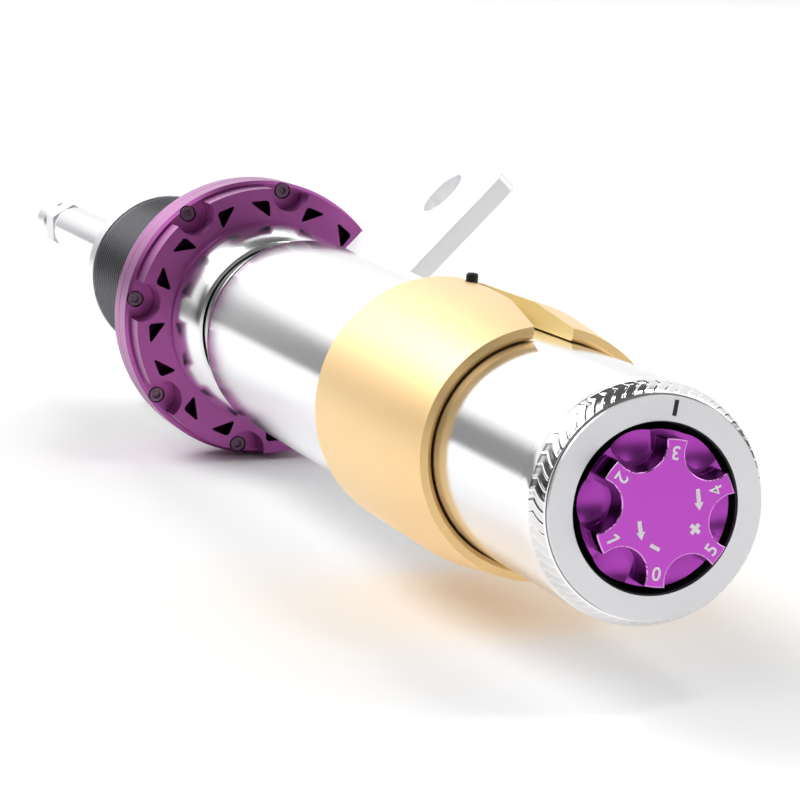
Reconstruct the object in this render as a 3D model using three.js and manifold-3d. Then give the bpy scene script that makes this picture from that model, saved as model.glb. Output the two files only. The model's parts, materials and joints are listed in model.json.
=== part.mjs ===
// Front suspension strut of a height-adjustable coilover kit, shown without its spring and top mount.
// It lies along the Y axis: adjuster wheel at the -Y end, piston rod end at the +Y end, +Z up.
// The origin is on the strut's axis, at the middle of the sleeve that the wheel carrier clamps.
// All sizes are millimetres. A station is a distance along the axis from the adjuster's end face.
// A profile lists [radius, station] pairs and is turned about the axis.
import * as THREE from 'three';
import { mergeVertices } from 'three/addons/utils/BufferGeometryUtils.js';
import Module from 'manifold-3d';

const wasm = await Module();
wasm.setup();

// ---------------------------------------------------------------- fits
const seat = 0.3; // gap between pieces that are fixed to each other
const run = 0.3; // gap between pieces that move on each other
const past = 1; // how far a cutter runs past what it cuts, and how deep two joined shapes meet
const fineEdge = 0.4; // chamfer on small turned edges
const edge = 0.8; // chamfer on the other turned edges

// ---------------------------------------------------------------- main tube
const lowerRadius = 22.5; // plug end, below the clamp sleeve's shoulder
const lowerWall = 1.9;
const shoulderStep = 2.2; // the tube grows by this where the sleeve's shoulder rests
const mainWall = 2.3;
const mainLength = 128; // shoulder to neck
const neckDrop = 3.4; // the tube narrows by this to carry the threaded sleeve
const neckLength = 17;
const rimLength = 5.8; // rolled edge that holds the end plug
const rimRecess = 1.2; // the rolled edge lies this far behind the plug's face
const neckLag = 2; // the bore's neck lies this far before the outer one

// ---------------------------------------------------------------- clamp sleeve and its pin
const sleeveStart = 57.5;
const sleeveLength = 65;
const sleeveWall = 2.7;
const sleeveShoulder = 42.2; // depth of the inner step that meets the tube's shoulder
const sleeveLip = 1.6; // wall thickness at the mouth
const sleeveMouth = 1.2; // radial gap at the mouth, round the tube
const sleeveMouthDepth = 2;
const sleeveCone = 22.5; // length of the outer cone
const slotMouth = 8.2; // the slot is a wedge, widest at the sleeve's mouth
const slotLength = 48; // length of the wedge
const slitWidth = 1.7; // from the wedge to the sleeve's other end
const slotSide = 3.85; // from the slot's plane to its straight wall
const slotAngle = 84.75; // degrees from +X towards +Z
const pinRadius = 1.3;
const pinHeight = 4.6; // above the tube
const pinStation = 113.5;
const pinOffset = 1.8; // from the slot's plane

// ---------------------------------------------------------------- end plug
const snapGroove = 8.6; // radius of the snap ring's groove
const snapLand = 1.6; // between cavity floor and snap ring
const snapWidth = 1.5;
const snapDepth = 0.7; // groove in the hub
const snapOpening = 4;
const spindleLand = 3;
const valveBore = 4.3; // threaded bore that the needle runs in
const feedBore = 1.9; // oil feed past the needle's tip
const feedLand = 0.6;

// ---------------------------------------------------------------- adjuster wheel
const knobRadius = 15;
const knobGap = 0.74; // dark ring between wheel and plug
const knobSkirt = 5.2; // thickness of the round base
const knobSink = 0.8; // the base lies this far below the end face
const starHeight = 5.43; // star above the base
const starRadius = 13.35;
const starPoints = 6; // one for each setting, 0 to 5
const starAngle = 81; // the setting that rests at the index tick
const scallopRadius = 4.9;
const scallopCentre = 13.4;
const dishRadius = 3.9;
const dishDepth = 1.2;
const hubRadius = 7;
const hubLength = 8;
const hubPlay = 0.4;
const sealLand = 1.2; // between the hub's end and its seal groove
const sealWidth = 2.1;
const sealDepth = 1.3;
const sealSection = 0.6;
const detentCircle = 11;
const detentBall = 1.4;
const detentDepth = 9; // pocket for ball and spring
const dimpleDepth = 0.5;
const springWire = 0.25;
const springRadius = 1;
const springTurns = 4;

// ---------------------------------------------------------------- adjuster spindle and needle
const spindleRadius = 3;
const spindleSink = 1.7; // behind the wheel's base disc
const spindleLength = 17.5;
const tangHalf = 1.5; // half width of the square drive
const tangLength = 8;
const needlePlay = 1.2; // behind the needle at rest
const needleTip = 1.3;
const needleBody = 8.975; // length behind its cone; the end plug is as long as this asks for
const needleSlope = 1.25; // rise of its cone for each millimetre of radius
const needleTravel = 0.5; // from the resting place to the last setting
const needleRest = 0.1; // left open at the last setting

// ---------------------------------------------------------------- base valve
const valveSkirt = 7.7; // legs that stand on the plug
const valveFlange = 5.7;
const valveSpigot = 8.3;
const valveLegs = 4;
const legAngle = 22.5;
const skirtWall = 4.5;
const valvePorts = 6;
const valvePortCircle = 7.5;
const notchWidth = 9;
const notchHeight = 4.7;
const shimRadius = 11;
const shimStack = 1.8; // three shims
const shimStep = 1.5;
const boltRadius = 3;
const boltHead = 4;
const boltNut = 4.2;
const boltEnd = 1; // proud of its nut
const boltFlats = 10;

// ---------------------------------------------------------------- pressure tube and piston
const reservoirGap = 1.7; // oil space between pressure tube and main tube
const pressureWall = 1.3;
const pistonLength = 12;
const pistonRelief = 0.7; // the piston's metal is this much smaller than the pressure tube
const bandLength = 6;
const bandWall = 1.4;
const pistonPorts = 6;
const portRadius = 1.6;
const portCircle = 9.5;
const pistonNut = 7.7;
const pistonNutFlats = 15;
const backingPlate = 2.1;
const bumperLength = 14;
const bumperRelief = 1.2;
const bumperWaist = 1;
const bumperEdge = 1.5;

// ---------------------------------------------------------------- rod and rebound adjuster
const rodRadius = 7.5;
const rodExposed = 130; // cap to shoulder, fully extended
const rodProud = 1; // the rod's end stands out of the piston nut
const studRadius = 5;
const studLength = 19;
const reboundRadius = 2;
const reboundTip = 2; // tapered end at the piston
const reboundTipRadius = 0.6;
const washerThickness = 2.5;
const washerWidth = 2;
const topNutGap = 2.2; // bare thread between washer and nut
const topNutHeight = 12;
const topNutFlats = 14;
const reboundKnobRadius = 7.3;
const reboundKnobLength = 20;
const reboundGrip = 9; // depth of the inner rod in its knob

// ---------------------------------------------------------------- rod guide, seal and cap
const guideLength = 20;
const guideSpigot = 6;
const guideDrains = 4;
const drainRadius = 1;
const bushWall = 1.7;
const bushInset = 1;
const sealLength = 5.7;
const sealLip = 1.2;
const sealChannel = 2;
const wiperLength = 5;
const wiperWall = 2.6;
const wiperShoulder = 1.2;
const wiperNeck = 1.3;
const wiperLip = 0.8; // stands proud of the cap
const capLength = 7.7;
const capRecess = 2;
const capRadius = 23.3;
const capLip = 1; // reaches over the wiper's shoulder

// ---------------------------------------------------------------- spring perch
const stopRingGap = 2;
const stopRingLength = 16.7;
const stopRingStart = 0.7; // wall at the thin end
const stopRingRise = 3.3;
const stopRingCone = 11;
const threadWall = 1.4;
const threadLength = 110;
const lobeCount = 8;
const lobeAngle = 11.8;
const ringThickness = 7.7;
const ringWidth = 11.3;
const lobeScallop = 5;
const lobeScallopCentre = 10.7; // from the ring's bore
const pocketDepth = 6;
const pocketWidth = 5.2;
const pocketHeight = 4.6;
const pocketCentre = 5.9; // from the ring's bore
const pocketRound = 1;
const pocketSpread = 8.3; // degrees each side of the lobe's middle
const lockScrewRadius = 1.5;
const lockScrewLobe = 6; // which scallop the lock screw is in
const lockScrewSink = 0.6;
const flangeWidth = 12.7;
const flangeThickness = 7.5;
const locatorThickness = 6.2;
const locatorBoss = 12;
const locatorWidth = 6.7;
const locatorLead = 2; // chamfer that guides the spring's coil
const screwCircle = 10.5; // from the bore
const screwHead = 1.85;
const screwHeadHeight = 1.6;
const screwShank = 1.1;
const screwLength = 10;
const screwSocket = 0.9;

// ---------------------------------------------------------------- link bracket
const bracketStation = 197;
const bracketAngle = 44;
const bracketThickness = 5;
const bracketReach = 34.7; // tip above the tube
const bracketFoot = 54; // length along the tube
const bracketHeel = 7.5;
const eyeStation = 25.5; // from the bracket's front edge
const eyeHeight = 24.7; // above the tube
const eyeRadius = 10;
const eyeBore = 6.1;
const tipRadius = 2.6;

// ---------------------------------------------------------------- places worked out from the sizes
const mainRadius = lowerRadius + shoulderStep;
const upperRadius = mainRadius - neckDrop;
const lowerBore = lowerRadius - lowerWall;
const mainBore = mainRadius - mainWall;
const upperBore = upperRadius - mainWall;
const clampCentre = sleeveStart + sleeveLength / 2;
const mainStart = sleeveStart + sleeveShoulder + seat;
const mainEnd = mainStart + mainLength;
const neckEnd = mainEnd + neckLength;

const plugRadius = lowerBore - seat;
const cavityRadius = knobRadius + knobGap;
const knobBack = knobSink + knobSkirt;
const cavityDepth = knobBack + run;
const hubEnd = knobBack + hubLength;
const hubBore = hubRadius + hubPlay;
const snapRingStart = cavityDepth + snapLand;
const sealGrooveStart = hubEnd - sealLand - sealWidth;
const spindleStart = knobSink + spindleSink;
const spindleEnd = spindleStart + spindleLength;
const needleStart = spindleEnd + needlePlay;
const needleConeStart = needleStart + needleBody;
const needleEnd = needleConeStart + needleSlope * (valveBore - run - needleTip);
const valveSeatStart = needleConeStart - needleSlope * run + needleTravel + needleRest;
const plugLength = valveSeatStart + needleSlope * (valveBore - feedBore) + feedLand;

const valveStart = plugLength + seat;
const valveFlangeStart = valveStart + valveSkirt;
const valveFlangeEnd = valveFlangeStart + valveFlange;
const valveEnd = valveFlangeEnd + valveSpigot;

const ringBore = upperRadius + seat + threadWall + run;
const stopRingAt = neckEnd + stopRingGap;
const threadStart = stopRingAt + stopRingLength + seat;
const threadEnd = threadStart + threadLength;
const ringStart = threadStart;
const seatStart = ringStart + ringThickness + run;
const locatorStart = seatStart + flangeThickness + seat;
const locatorEnd = locatorStart + locatorThickness;

const capStart = threadEnd + seat;
const capEnd = capStart + capLength;
const wiperStart = capStart + capRecess + seat;
const tubeEnd = capStart + capRecess - seat;
const sealStart = tubeEnd - sealLength;
const guideEnd = sealStart - seat;
const guideStart = guideEnd - guideLength;
const guideShoulder = guideStart + guideSpigot;

const pressureRadius = upperBore - reservoirGap;
const pressureBore = pressureRadius - pressureWall;
const pressureStart = valveFlangeEnd + seat;
const pressureEnd = guideShoulder - seat;

const bumperStart = guideStart - run - bumperLength;
const plateStart = bumperStart - seat - backingPlate;
const compressionShims = plateStart - seat - shimStack;
const pistonStart = compressionShims - seat - pistonLength;
const reboundShims = pistonStart - seat - shimStack;
const pistonNutStart = reboundShims - seat - pistonNut;
const rodStart = pistonNutStart - rodProud;
const rodShoulder = capEnd + rodExposed;
const studEnd = rodShoulder + studLength;
const washerStart = rodShoulder + seat;
const topNutStart = washerStart + washerThickness + topNutGap;
const reboundKnobStart = studEnd + run;

const perchSides = 36;
const outerSides = 30;
const innerSides = 16;
const smallSides = 8;
const turnedSides = 22;

// ---------------------------------------------------------------- how pieces are made
const strut = new THREE.Group();

/** Closed, indexed geometry with shared corners and no collapsed triangles. */
function shared(geometry) {
  geometry.deleteAttribute('normal');
  geometry.deleteAttribute('uv');
  const merged = mergeVertices(geometry, 1e-4);
  const corners = merged.index.array;
  const kept = [];
  for (let i = 0; i < corners.length; i += 3) {
    const [a, b, c] = corners.slice(i, i + 3);
    if (a !== b && b !== c && c !== a) kept.push(a, b, c);
  }
  merged.setIndex(kept);
  return merged;
}

function toSolid(geometry) {
  const { index, attributes } = shared(geometry);
  return new wasm.Manifold(new wasm.Mesh({
    numProp: 3,
    vertProperties: new Float32Array(attributes.position.array),
    triVerts: new Uint32Array(index.array),
  }));
}

function toGeometry(solid) {
  const mesh = solid.getMesh();
  const geometry = new THREE.BufferGeometry();
  geometry.setAttribute('position', new THREE.BufferAttribute(mesh.vertProperties, 3));
  geometry.setIndex(new THREE.BufferAttribute(mesh.triVerts, 1));
  return geometry;
}

/** The first geometry with all the others taken away. */
function cut(geometry, tools) {
  return toGeometry(tools.reduce((rest, tool) => rest.subtract(toSolid(tool)), toSolid(geometry)));
}

/** All the geometries as one body. */
function join(geometries) {
  return toGeometry(geometries.map(toSolid).reduce((whole, piece) => whole.add(piece)));
}

/** A profile of [radius, station] turned about the strut's axis; it closes on itself or on the axis. */
function turned(profile, sides = outerSides) {
  const points = profile.map(([radius, station]) => new THREE.Vector2(radius, station - clampCentre));
  const onAxis = profile[0][0] === 0 && profile[profile.length - 1][0] === 0;
  if (THREE.ShapeUtils.area(points) < 0) points.reverse();
  if (!onAxis) points.push(points[0].clone());
  return new THREE.LatheGeometry(points, sides);
}

/** A ring or tube with square ends. */
function tube(bore, radius, start, end, sides = outerSides) {
  return turned([[bore, start], [radius, start], [radius, end], [bore, end]], sides);
}

/** A ring or tube that nobody sees, with fewer sides. */
function innerTube(bore, radius, start, end) {
  return tube(bore, radius, start, end, innerSides);
}

/** A round bar with square ends. */
function bar(radius, start, end, sides = outerSides) {
  return turned([[0, start], [radius, start], [radius, end], [0, end]], sides);
}

/** Points of a quarter round in a profile, from one [radius, station] to another about a centre. */
function arc([radius, station], size, from, to, steps = 5) {
  return Array.from({ length: steps + 1 }, (_, i) => {
    const angle = THREE.MathUtils.degToRad(from + ((to - from) * i) / steps);
    return [radius + size * Math.cos(angle), station + size * Math.sin(angle)];
  });
}

/** Moves a geometry off the axis and turns it about the axis; angles run from +X towards +Z. */
function around(geometry, radius, degrees, station = 0) {
  geometry.translate(radius, station, 0);
  return geometry.rotateY(-THREE.MathUtils.degToRad(degrees));
}

/** A round bar parallel to the axis, at a radius and angle. */
function sideBar(size, start, end, radius, degrees, sides = smallSides) {
  return around(bar(size, start, end, sides), radius, degrees);
}

/** A round bar that points away from the axis. */
function radialBar(size, fromRadius, toRadius, station, degrees, sides = smallSides) {
  const length = toRadius - fromRadius;
  const geometry = new THREE.CylinderGeometry(size, size, length, sides).rotateZ(-Math.PI / 2);
  return around(geometry, fromRadius + length / 2, degrees, station - clampCentre);
}

/** A hexagon bar along the axis with a round bore, given its width across flats. */
function hexagon(flats, bore, start, end) {
  const corner = flats / 2 / Math.cos(Math.PI / 6);
  return cut(bar(corner, start, end, 6), [bar(bore, start - past, end + past, innerSides)]);
}

/** Calls a maker once for each of a number of evenly spaced angles. */
function spaced(count, first, make) {
  return Array.from({ length: count }, (_, i) => make(first + (360 * i) / count, i));
}

function add(name, geometry, colour, roughness, metalness) {
  const material = new THREE.MeshStandardMaterial({ color: colour, roughness, metalness });
  const mesh = new THREE.Mesh(shared(geometry), material);
  mesh.name = name;
  strut.add(mesh);
}

// Finishes: colour, roughness, metalness
const polished = [0xdfe1e4, 0.12, 1];
const satin = [0xd4d4d8, 0.35, 0.9];
const steel = [0x9a9ca0, 0.4, 0.9];
const gold = [0xf0c878, 0.28, 0.9];
const purple = [0x96448e, 0.38, 0.8];
const magenta = [0xbe4bc8, 0.2, 0.8];
const black = [0x26262a, 0.5, 0.2];
const darkSteel = [0x4a4b50, 0.35, 0.9];
const white = [0xf2f2f4, 0.3, 0.8];
const rubber = [0x1b1b1d, 0.8, 0];

// ---------------------------------------------------------------- housing
function strutTube() {
  const rolledEdge = arc([0, 0], 1, -90, 0, 3).map(([out, along]) => (
    [lowerBore + lowerWall * out, rimRecess + rimLength * (1 + along)]));
  const neck = arc([0, 0], 1, 0, 180, 5).map(([out], i) => (
    [upperRadius + (neckDrop * (1 + out)) / 2, mainEnd + (neckLength * i) / 5]));
  return turned([
    ...rolledEdge,
    [lowerRadius, mainStart],
    [mainRadius, mainStart],
    ...neck,
    [upperRadius, tubeEnd],
    [upperBore, tubeEnd],
    [upperBore, neckEnd - neckLag],
    [mainBore, mainEnd - neckLag],
    [mainBore, mainStart + mainWall],
    [lowerBore, mainStart],
  ]);
}

function endPlug() {
  const body = turned([
    [plugRadius - fineEdge, 0],
    [plugRadius, fineEdge],
    [plugRadius, plugLength],
    [feedBore, plugLength],
    [feedBore, plugLength - feedLand],
    [valveBore, valveSeatStart],
    [valveBore, hubEnd + seat + spindleLand],
    [spindleRadius + run, hubEnd + seat + spindleLand],
    [spindleRadius + run, hubEnd + seat],
    [hubBore, hubEnd + seat],
    [hubBore, snapRingStart + snapWidth + seat],
    [snapGroove, snapRingStart + snapWidth + seat],
    [snapGroove, snapRingStart - seat],
    [hubBore, snapRingStart - seat],
    [hubBore, cavityDepth],
    [cavityRadius, cavityDepth],
    [cavityRadius, fineEdge],
    [cavityRadius + fineEdge, 0],
  ], turnedSides);
  const end = cavityDepth + detentDepth;
  return cut(body, [sideBar(detentBall + run, cavityDepth - past, end, detentCircle, starAngle)]);
}

// ---------------------------------------------------------------- adjuster wheel
/** Star with cut-back scallops on a round base, with a dished floor in each scallop. */
function bumpKnob() {
  const top = knobSink - starHeight;
  const snapStart = snapRingStart - seat;
  const snapEnd = snapRingStart + snapWidth + seat;
  const blank = turned([
    [0, top],
    [starRadius - fineEdge, top],
    [starRadius, top + fineEdge],
    [starRadius, knobSink],
    [knobRadius - fineEdge, knobSink],
    [knobRadius, knobSink + fineEdge],
    [knobRadius, knobBack],
    [hubRadius, knobBack],
    [hubRadius, snapStart],
    [hubRadius - snapDepth, snapStart],
    [hubRadius - snapDepth, snapEnd],
    [hubRadius, snapEnd],
    [hubRadius, hubEnd],
    [spindleRadius + seat, hubEnd],
    [spindleRadius + seat, spindleStart - seat],
    [0, spindleStart - seat],
  ], turnedSides);
  const sealEnd = sealGrooveStart + sealWidth;
  const groove = tube(hubRadius - sealDepth, hubRadius + past, sealGrooveStart, sealEnd, innerSides);
  return cut(blank, [...knobScallops(top), ...knobDimples(), groove]);
}

/** Cutters between the star's arms: a round bar, and a ball that dishes the floor under it. */
function knobScallops(top) {
  const first = starAngle + 180 / starPoints;
  const ball = (dishRadius ** 2 + dishDepth ** 2) / (2 * dishDepth);
  const ballStation = knobSink + dishDepth - ball - clampCentre;
  return [
    ...spaced(starPoints, first, (angle) => (
      sideBar(scallopRadius, top - past, knobSink, scallopCentre, angle, 12))),
    ...spaced(starPoints, first, (angle) => (
      around(new THREE.SphereGeometry(ball, 9, 8), scallopCentre, angle, ballStation))),
  ];
}

/** Cutters for the dimples that the detent ball drops into, one for each setting. */
function knobDimples() {
  return spaced(starPoints, starAngle, (angle) => (
    sideBar(detentBall, knobBack - dimpleDepth, knobBack + past, detentCircle, angle, 4)));
}

function knobSeal() {
  const centre = hubRadius - sealDepth + seat + sealSection;
  const section = arc([centre, sealGrooveStart + sealWidth / 2], sealSection, 0, 300, 5);
  return turned(section, innerSides);
}

function snapRing() {
  const inner = hubRadius - snapDepth + seat;
  const ring = tube(inner, snapGroove - seat, snapRingStart, snapRingStart + snapWidth, innerSides);
  const middle = snapRingStart + snapWidth / 2 - clampCentre;
  const opening = new THREE.BoxGeometry(snapOpening, 2 * snapWidth, snapOpening);
  return cut(ring, [around(opening, hubRadius, -starAngle, middle)]);
}

function bumpSpindle() {
  const round = bar(spindleRadius, spindleStart, spindleEnd, innerSides);
  const tang = new THREE.BoxGeometry(2 * tangHalf, tangLength + past, 2 * tangHalf);
  tang.translate(0, spindleEnd + (tangLength - past) / 2 - clampCentre, 0);
  return join([round, tang]);
}

/** Needle that the spindle's square tang turns; its thread moves it in the plug. */
function bumpNeedle() {
  const radius = valveBore - run;
  const blank = turned([
    [0, needleStart],
    [radius, needleStart],
    [radius, needleConeStart],
    [needleTip, needleEnd],
    [0, needleEnd],
  ], innerSides);
  const socketDepth = tangLength - needlePlay + needleTravel + past;
  const width = 2 * (tangHalf + seat);
  const socket = new THREE.BoxGeometry(width, socketDepth + past, width);
  socket.translate(0, needleStart + (socketDepth - past) / 2 - clampCentre, 0);
  return cut(blank, [socket]);
}

function detentBallShape() {
  const station = knobBack + run + detentBall;
  return around(new THREE.SphereGeometry(detentBall, 8, 6), detentCircle, starAngle, station - clampCentre);
}

/** A helix about a line parallel to Y. */
class Helix extends THREE.Curve {
  constructor(radius, height, turns) {
    super();
    Object.assign(this, { radius, height, turns });
  }

  getPoint(t, target = new THREE.Vector3()) {
    const angle = 2 * Math.PI * this.turns * t;
    return target.set(this.radius * Math.cos(angle), this.height * t, this.radius * Math.sin(angle));
  }
}

function detentSpring() {
  const start = knobBack + 2 * run + 2 * detentBall + springWire;
  const height = cavityDepth + detentDepth - run - springWire - start;
  const path = new Helix(springRadius, height, springTurns);
  const section = new THREE.Shape(new THREE.Path().absarc(0, 0, springWire, 0, 2 * Math.PI).getPoints(3));
  const wire = new THREE.ExtrudeGeometry(section, {
    extrudePath: path, steps: springTurns * 8, bevelEnabled: false,
  });
  return around(wire, detentCircle, starAngle, start - clampCentre);
}

// ---------------------------------------------------------------- base valve
/** Casting that stands on the plug on four legs, with ports up to its shims. */
function baseValveBody() {
  const blank = turned([
    [boltRadius + seat, valveFlangeStart],
    [pressureRadius - skirtWall, valveFlangeStart],
    [pressureRadius - skirtWall, valveStart],
    [pressureRadius, valveStart],
    [pressureRadius, valveFlangeEnd],
    [pressureBore - seat, valveFlangeEnd],
    [pressureBore - seat, valveEnd],
    [boltRadius + seat, valveEnd],
  ], innerSides);
  const notches = spaced(valveLegs, legAngle, (angle) => {
    const box = new THREE.BoxGeometry(pressureRadius, 2 * notchHeight, notchWidth);
    return around(box, pressureRadius, angle, valveStart - clampCentre);
  });
  const ports = spaced(valvePorts, 0, (angle) => (
    sideBar(portRadius, valveFlangeStart - past, valveEnd + past, valvePortCircle, angle, 6)));
  return cut(blank, [...notches, ...ports]);
}

/** A stack of thin discs, each smaller than the one under it. */
function shims(bore, start, upward) {
  const thickness = shimStack / 3;
  const steps = [shimRadius, shimRadius - shimStep, shimRadius - 2 * shimStep];
  if (!upward) steps.reverse();
  const outline = steps.flatMap((radius, i) => [
    [radius, start + i * thickness], [radius, start + (i + 1) * thickness]]);
  return turned([[bore, start], ...outline, [bore, start + shimStack]], innerSides);
}

function baseValveBolt() {
  const head = valveEnd + 2 * seat + shimStack;
  const shankStart = valveFlangeStart - seat - boltNut - boltEnd;
  const shank = bar(boltRadius, shankStart, head + past, smallSides);
  return join([shank, bar(boltFlats / 2 / Math.cos(Math.PI / 6), head, head + boltHead, 6)]);
}

function baseValveNut() {
  const end = valveFlangeStart - seat;
  return hexagon(boltFlats, boltRadius + seat, end - boltNut, end);
}

// ---------------------------------------------------------------- pressure tube and piston
function piston() {
  const radius = pressureBore - pistonRelief;
  const grooveStart = pistonStart + (pistonLength - bandLength) / 2 - seat;
  const grooveEnd = grooveStart + bandLength + 2 * seat;
  const grooveFloor = pressureBore - run - bandWall - seat;
  const end = pistonStart + pistonLength;
  const blank = turned([
    [studRadius + seat, pistonStart],
    [radius, pistonStart],
    [radius, grooveStart],
    [grooveFloor, grooveStart],
    [grooveFloor, grooveEnd],
    [radius, grooveEnd],
    [radius, end],
    [studRadius + seat, end],
  ], innerSides);
  const ports = spaced(pistonPorts, 180 / pistonPorts, (angle) => (
    sideBar(portRadius, pistonStart - past, end + past, portCircle, angle, 6)));
  return cut(blank, ports);
}

function pistonBand() {
  const start = pistonStart + (pistonLength - bandLength) / 2;
  return tube(pressureBore - run - bandWall, pressureBore - run, start, start + bandLength, innerSides);
}

function topOutBumper() {
  const [inner, outer] = [rodRadius + seat, pressureBore - bumperRelief];
  const end = bumperStart + bumperLength;
  return turned([
    [inner, bumperStart],
    [outer, bumperStart],
    [outer - bumperWaist, bumperStart + bumperLength / 2],
    [outer, end - bumperEdge],
    [outer - bumperEdge, end],
    [inner, end],
  ], innerSides);
}

// ---------------------------------------------------------------- rod and rebound adjuster
/** Hollow rod: thin stud through the piston, thick rod, threaded stud at the far end. */
function pistonRod() {
  const bore = reboundRadius + run;
  return turned([
    [bore, rodStart],
    [studRadius - fineEdge, rodStart],
    [studRadius, rodStart + fineEdge],
    [studRadius, bumperStart],
    [rodRadius, bumperStart],
    [rodRadius, rodShoulder - edge],
    [rodRadius - edge, rodShoulder],
    [studRadius, rodShoulder],
    [studRadius, studEnd - edge],
    [studRadius - edge, studEnd],
    [bore, studEnd],
  ], turnedSides);
}

function reboundRod() {
  const end = reboundKnobStart + reboundGrip - seat;
  return turned([
    [0, rodStart - reboundTip],
    [reboundTipRadius, rodStart - reboundTip],
    [reboundRadius, rodStart],
    [reboundRadius, end],
    [0, end],
  ], smallSides);
}

/** Domed knob on the end of the inner rod, just past the stud. */
function reboundKnob() {
  const end = reboundKnobStart + reboundKnobLength;
  const gripEnd = reboundKnobStart + reboundGrip;
  return turned([
    [reboundRadius + seat, reboundKnobStart],
    [reboundKnobRadius - edge, reboundKnobStart],
    [reboundKnobRadius, reboundKnobStart + edge],
    ...arc([0, end - reboundKnobRadius], reboundKnobRadius, 0, 90, 6),
    [0, gripEnd],
    [reboundRadius + seat, gripEnd],
  ], turnedSides);
}

/** Washer on the rod's stud. */
function washer(radius, start, thickness) {
  return innerTube(studRadius + seat, radius, start, start + thickness);
}

/** Nut on the rod's stud. */
function studNut(flats, start, height) {
  return hexagon(flats, studRadius + seat, start, start + height);
}

// ---------------------------------------------------------------- rod guide, seal and cap
function rodBush() {
  const bore = rodRadius + run;
  return innerTube(bore, bore + bushWall, guideStart + bushInset, guideEnd - bushInset);
}

function rodGuide() {
  const bushBore = rodRadius + run + bushWall + seat;
  const blank = turned([
    [bushBore, guideStart],
    [pressureBore - seat, guideStart],
    [pressureBore - seat, guideShoulder],
    [upperBore - seat, guideShoulder],
    [upperBore - seat, guideEnd],
    [bushBore, guideEnd],
  ], innerSides);
  const drainCircle = (pressureRadius + upperBore) / 2 - drainRadius;
  const drains = spaced(guideDrains, 0, (angle) => (
    sideBar(drainRadius, guideShoulder - past, guideEnd + past, drainCircle, angle)));
  return cut(blank, drains);
}

function rodSeal() {
  const [inner, outer] = [rodRadius + run, upperBore - seat];
  return turned([
    [inner, sealStart],
    [inner + sealLip, sealStart],
    [inner + 1.5 * sealLip, sealStart + sealChannel],
    [outer - sealLip, sealStart + sealChannel],
    [outer - sealLip, sealStart],
    [outer, sealStart],
    [outer, tubeEnd],
    [inner + edge, tubeEnd],
    [inner, tubeEnd - 2 * edge],
  ], innerSides);
}

function wiper() {
  const [inner, outer] = [rodRadius + run, rodRadius + run + wiperWall];
  const lip = capEnd + wiperLip;
  return turned([
    [inner, wiperStart],
    [outer, wiperStart],
    [outer, wiperStart + wiperLength - wiperShoulder],
    [outer - wiperNeck, wiperStart + wiperLength - wiperShoulder],
    [inner + wiperLip, lip],
    [inner, lip],
  ], innerSides);
}

/** Screwed cap over the tube's end; it holds the seal down and carries the wiper. */
function endCap() {
  const wiperSeat = rodRadius + run + wiperWall + seat;
  const wiperTop = wiperStart + wiperLength - wiperShoulder + seat;
  return turned([
    [upperRadius + seat, capStart],
    [capRadius, capStart],
    [capRadius, capEnd - edge],
    [capRadius - edge, capEnd],
    [wiperSeat - capLip, capEnd],
    [wiperSeat - capLip, wiperTop],
    [wiperSeat, wiperTop],
    [wiperSeat, capStart + capRecess],
    [upperRadius + seat, capStart + capRecess],
  ]);
}

// ---------------------------------------------------------------- clamp sleeve, pin and link bracket
/** Split sleeve with an inner shoulder; the wheel carrier closes round it. */
function clampSleeve() {
  const end = sleeveStart + sleeveLength;
  const step = sleeveStart + sleeveShoulder;
  const mouth = lowerRadius + sleeveMouth;
  const bore = mainRadius + seat;
  const blank = turned([
    [mouth, sleeveStart],
    [mouth + sleeveLip, sleeveStart],
    [bore + sleeveWall, sleeveStart + sleeveCone],
    [bore + sleeveWall, end - edge],
    [bore + sleeveWall - edge, end],
    [bore, end],
    [bore, step],
    [lowerRadius + seat, step],
    [lowerRadius + seat, sleeveStart + sleeveMouthDepth],
  ], perchSides);
  return cut(blank, [slotCutter(), pinBar(pinRadius + run, -past, sleeveWall + past)]);
}

/** Wedge that runs out in a narrow slit; its wall on the +X side is straight. */
function slotCutter() {
  const start = sleeveStart - clampCentre;
  const end = start + sleeveLength + past;
  const slit = slotSide - slitWidth;
  const outline = new THREE.Shape();
  outline.moveTo(slotSide, start - past);
  outline.lineTo(slotSide, end);
  outline.lineTo(slit, end);
  outline.lineTo(slit, start + slotLength);
  outline.lineTo(slotSide - slotMouth, start);
  outline.lineTo(slotSide - slotMouth, start - past);
  const depth = shoulderStep + 2 * sleeveWall;
  const wedge = new THREE.ExtrudeGeometry(outline, { depth, bevelEnabled: false });
  return around(wedge.rotateY(Math.PI / 2), lowerRadius, slotAngle);
}

/** A round bar in the slot that points away from the tube; its ends are heights above the seat. */
function pinBar(size, low, high) {
  const geometry = radialBar(size, low, high, pinStation, 0, 12);
  geometry.translate(mainRadius + seat, 0, -pinOffset);
  return geometry.rotateY(-THREE.MathUtils.degToRad(slotAngle));
}

function locatingPin() {
  return pinBar(pinRadius, 0, pinHeight);
}

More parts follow.
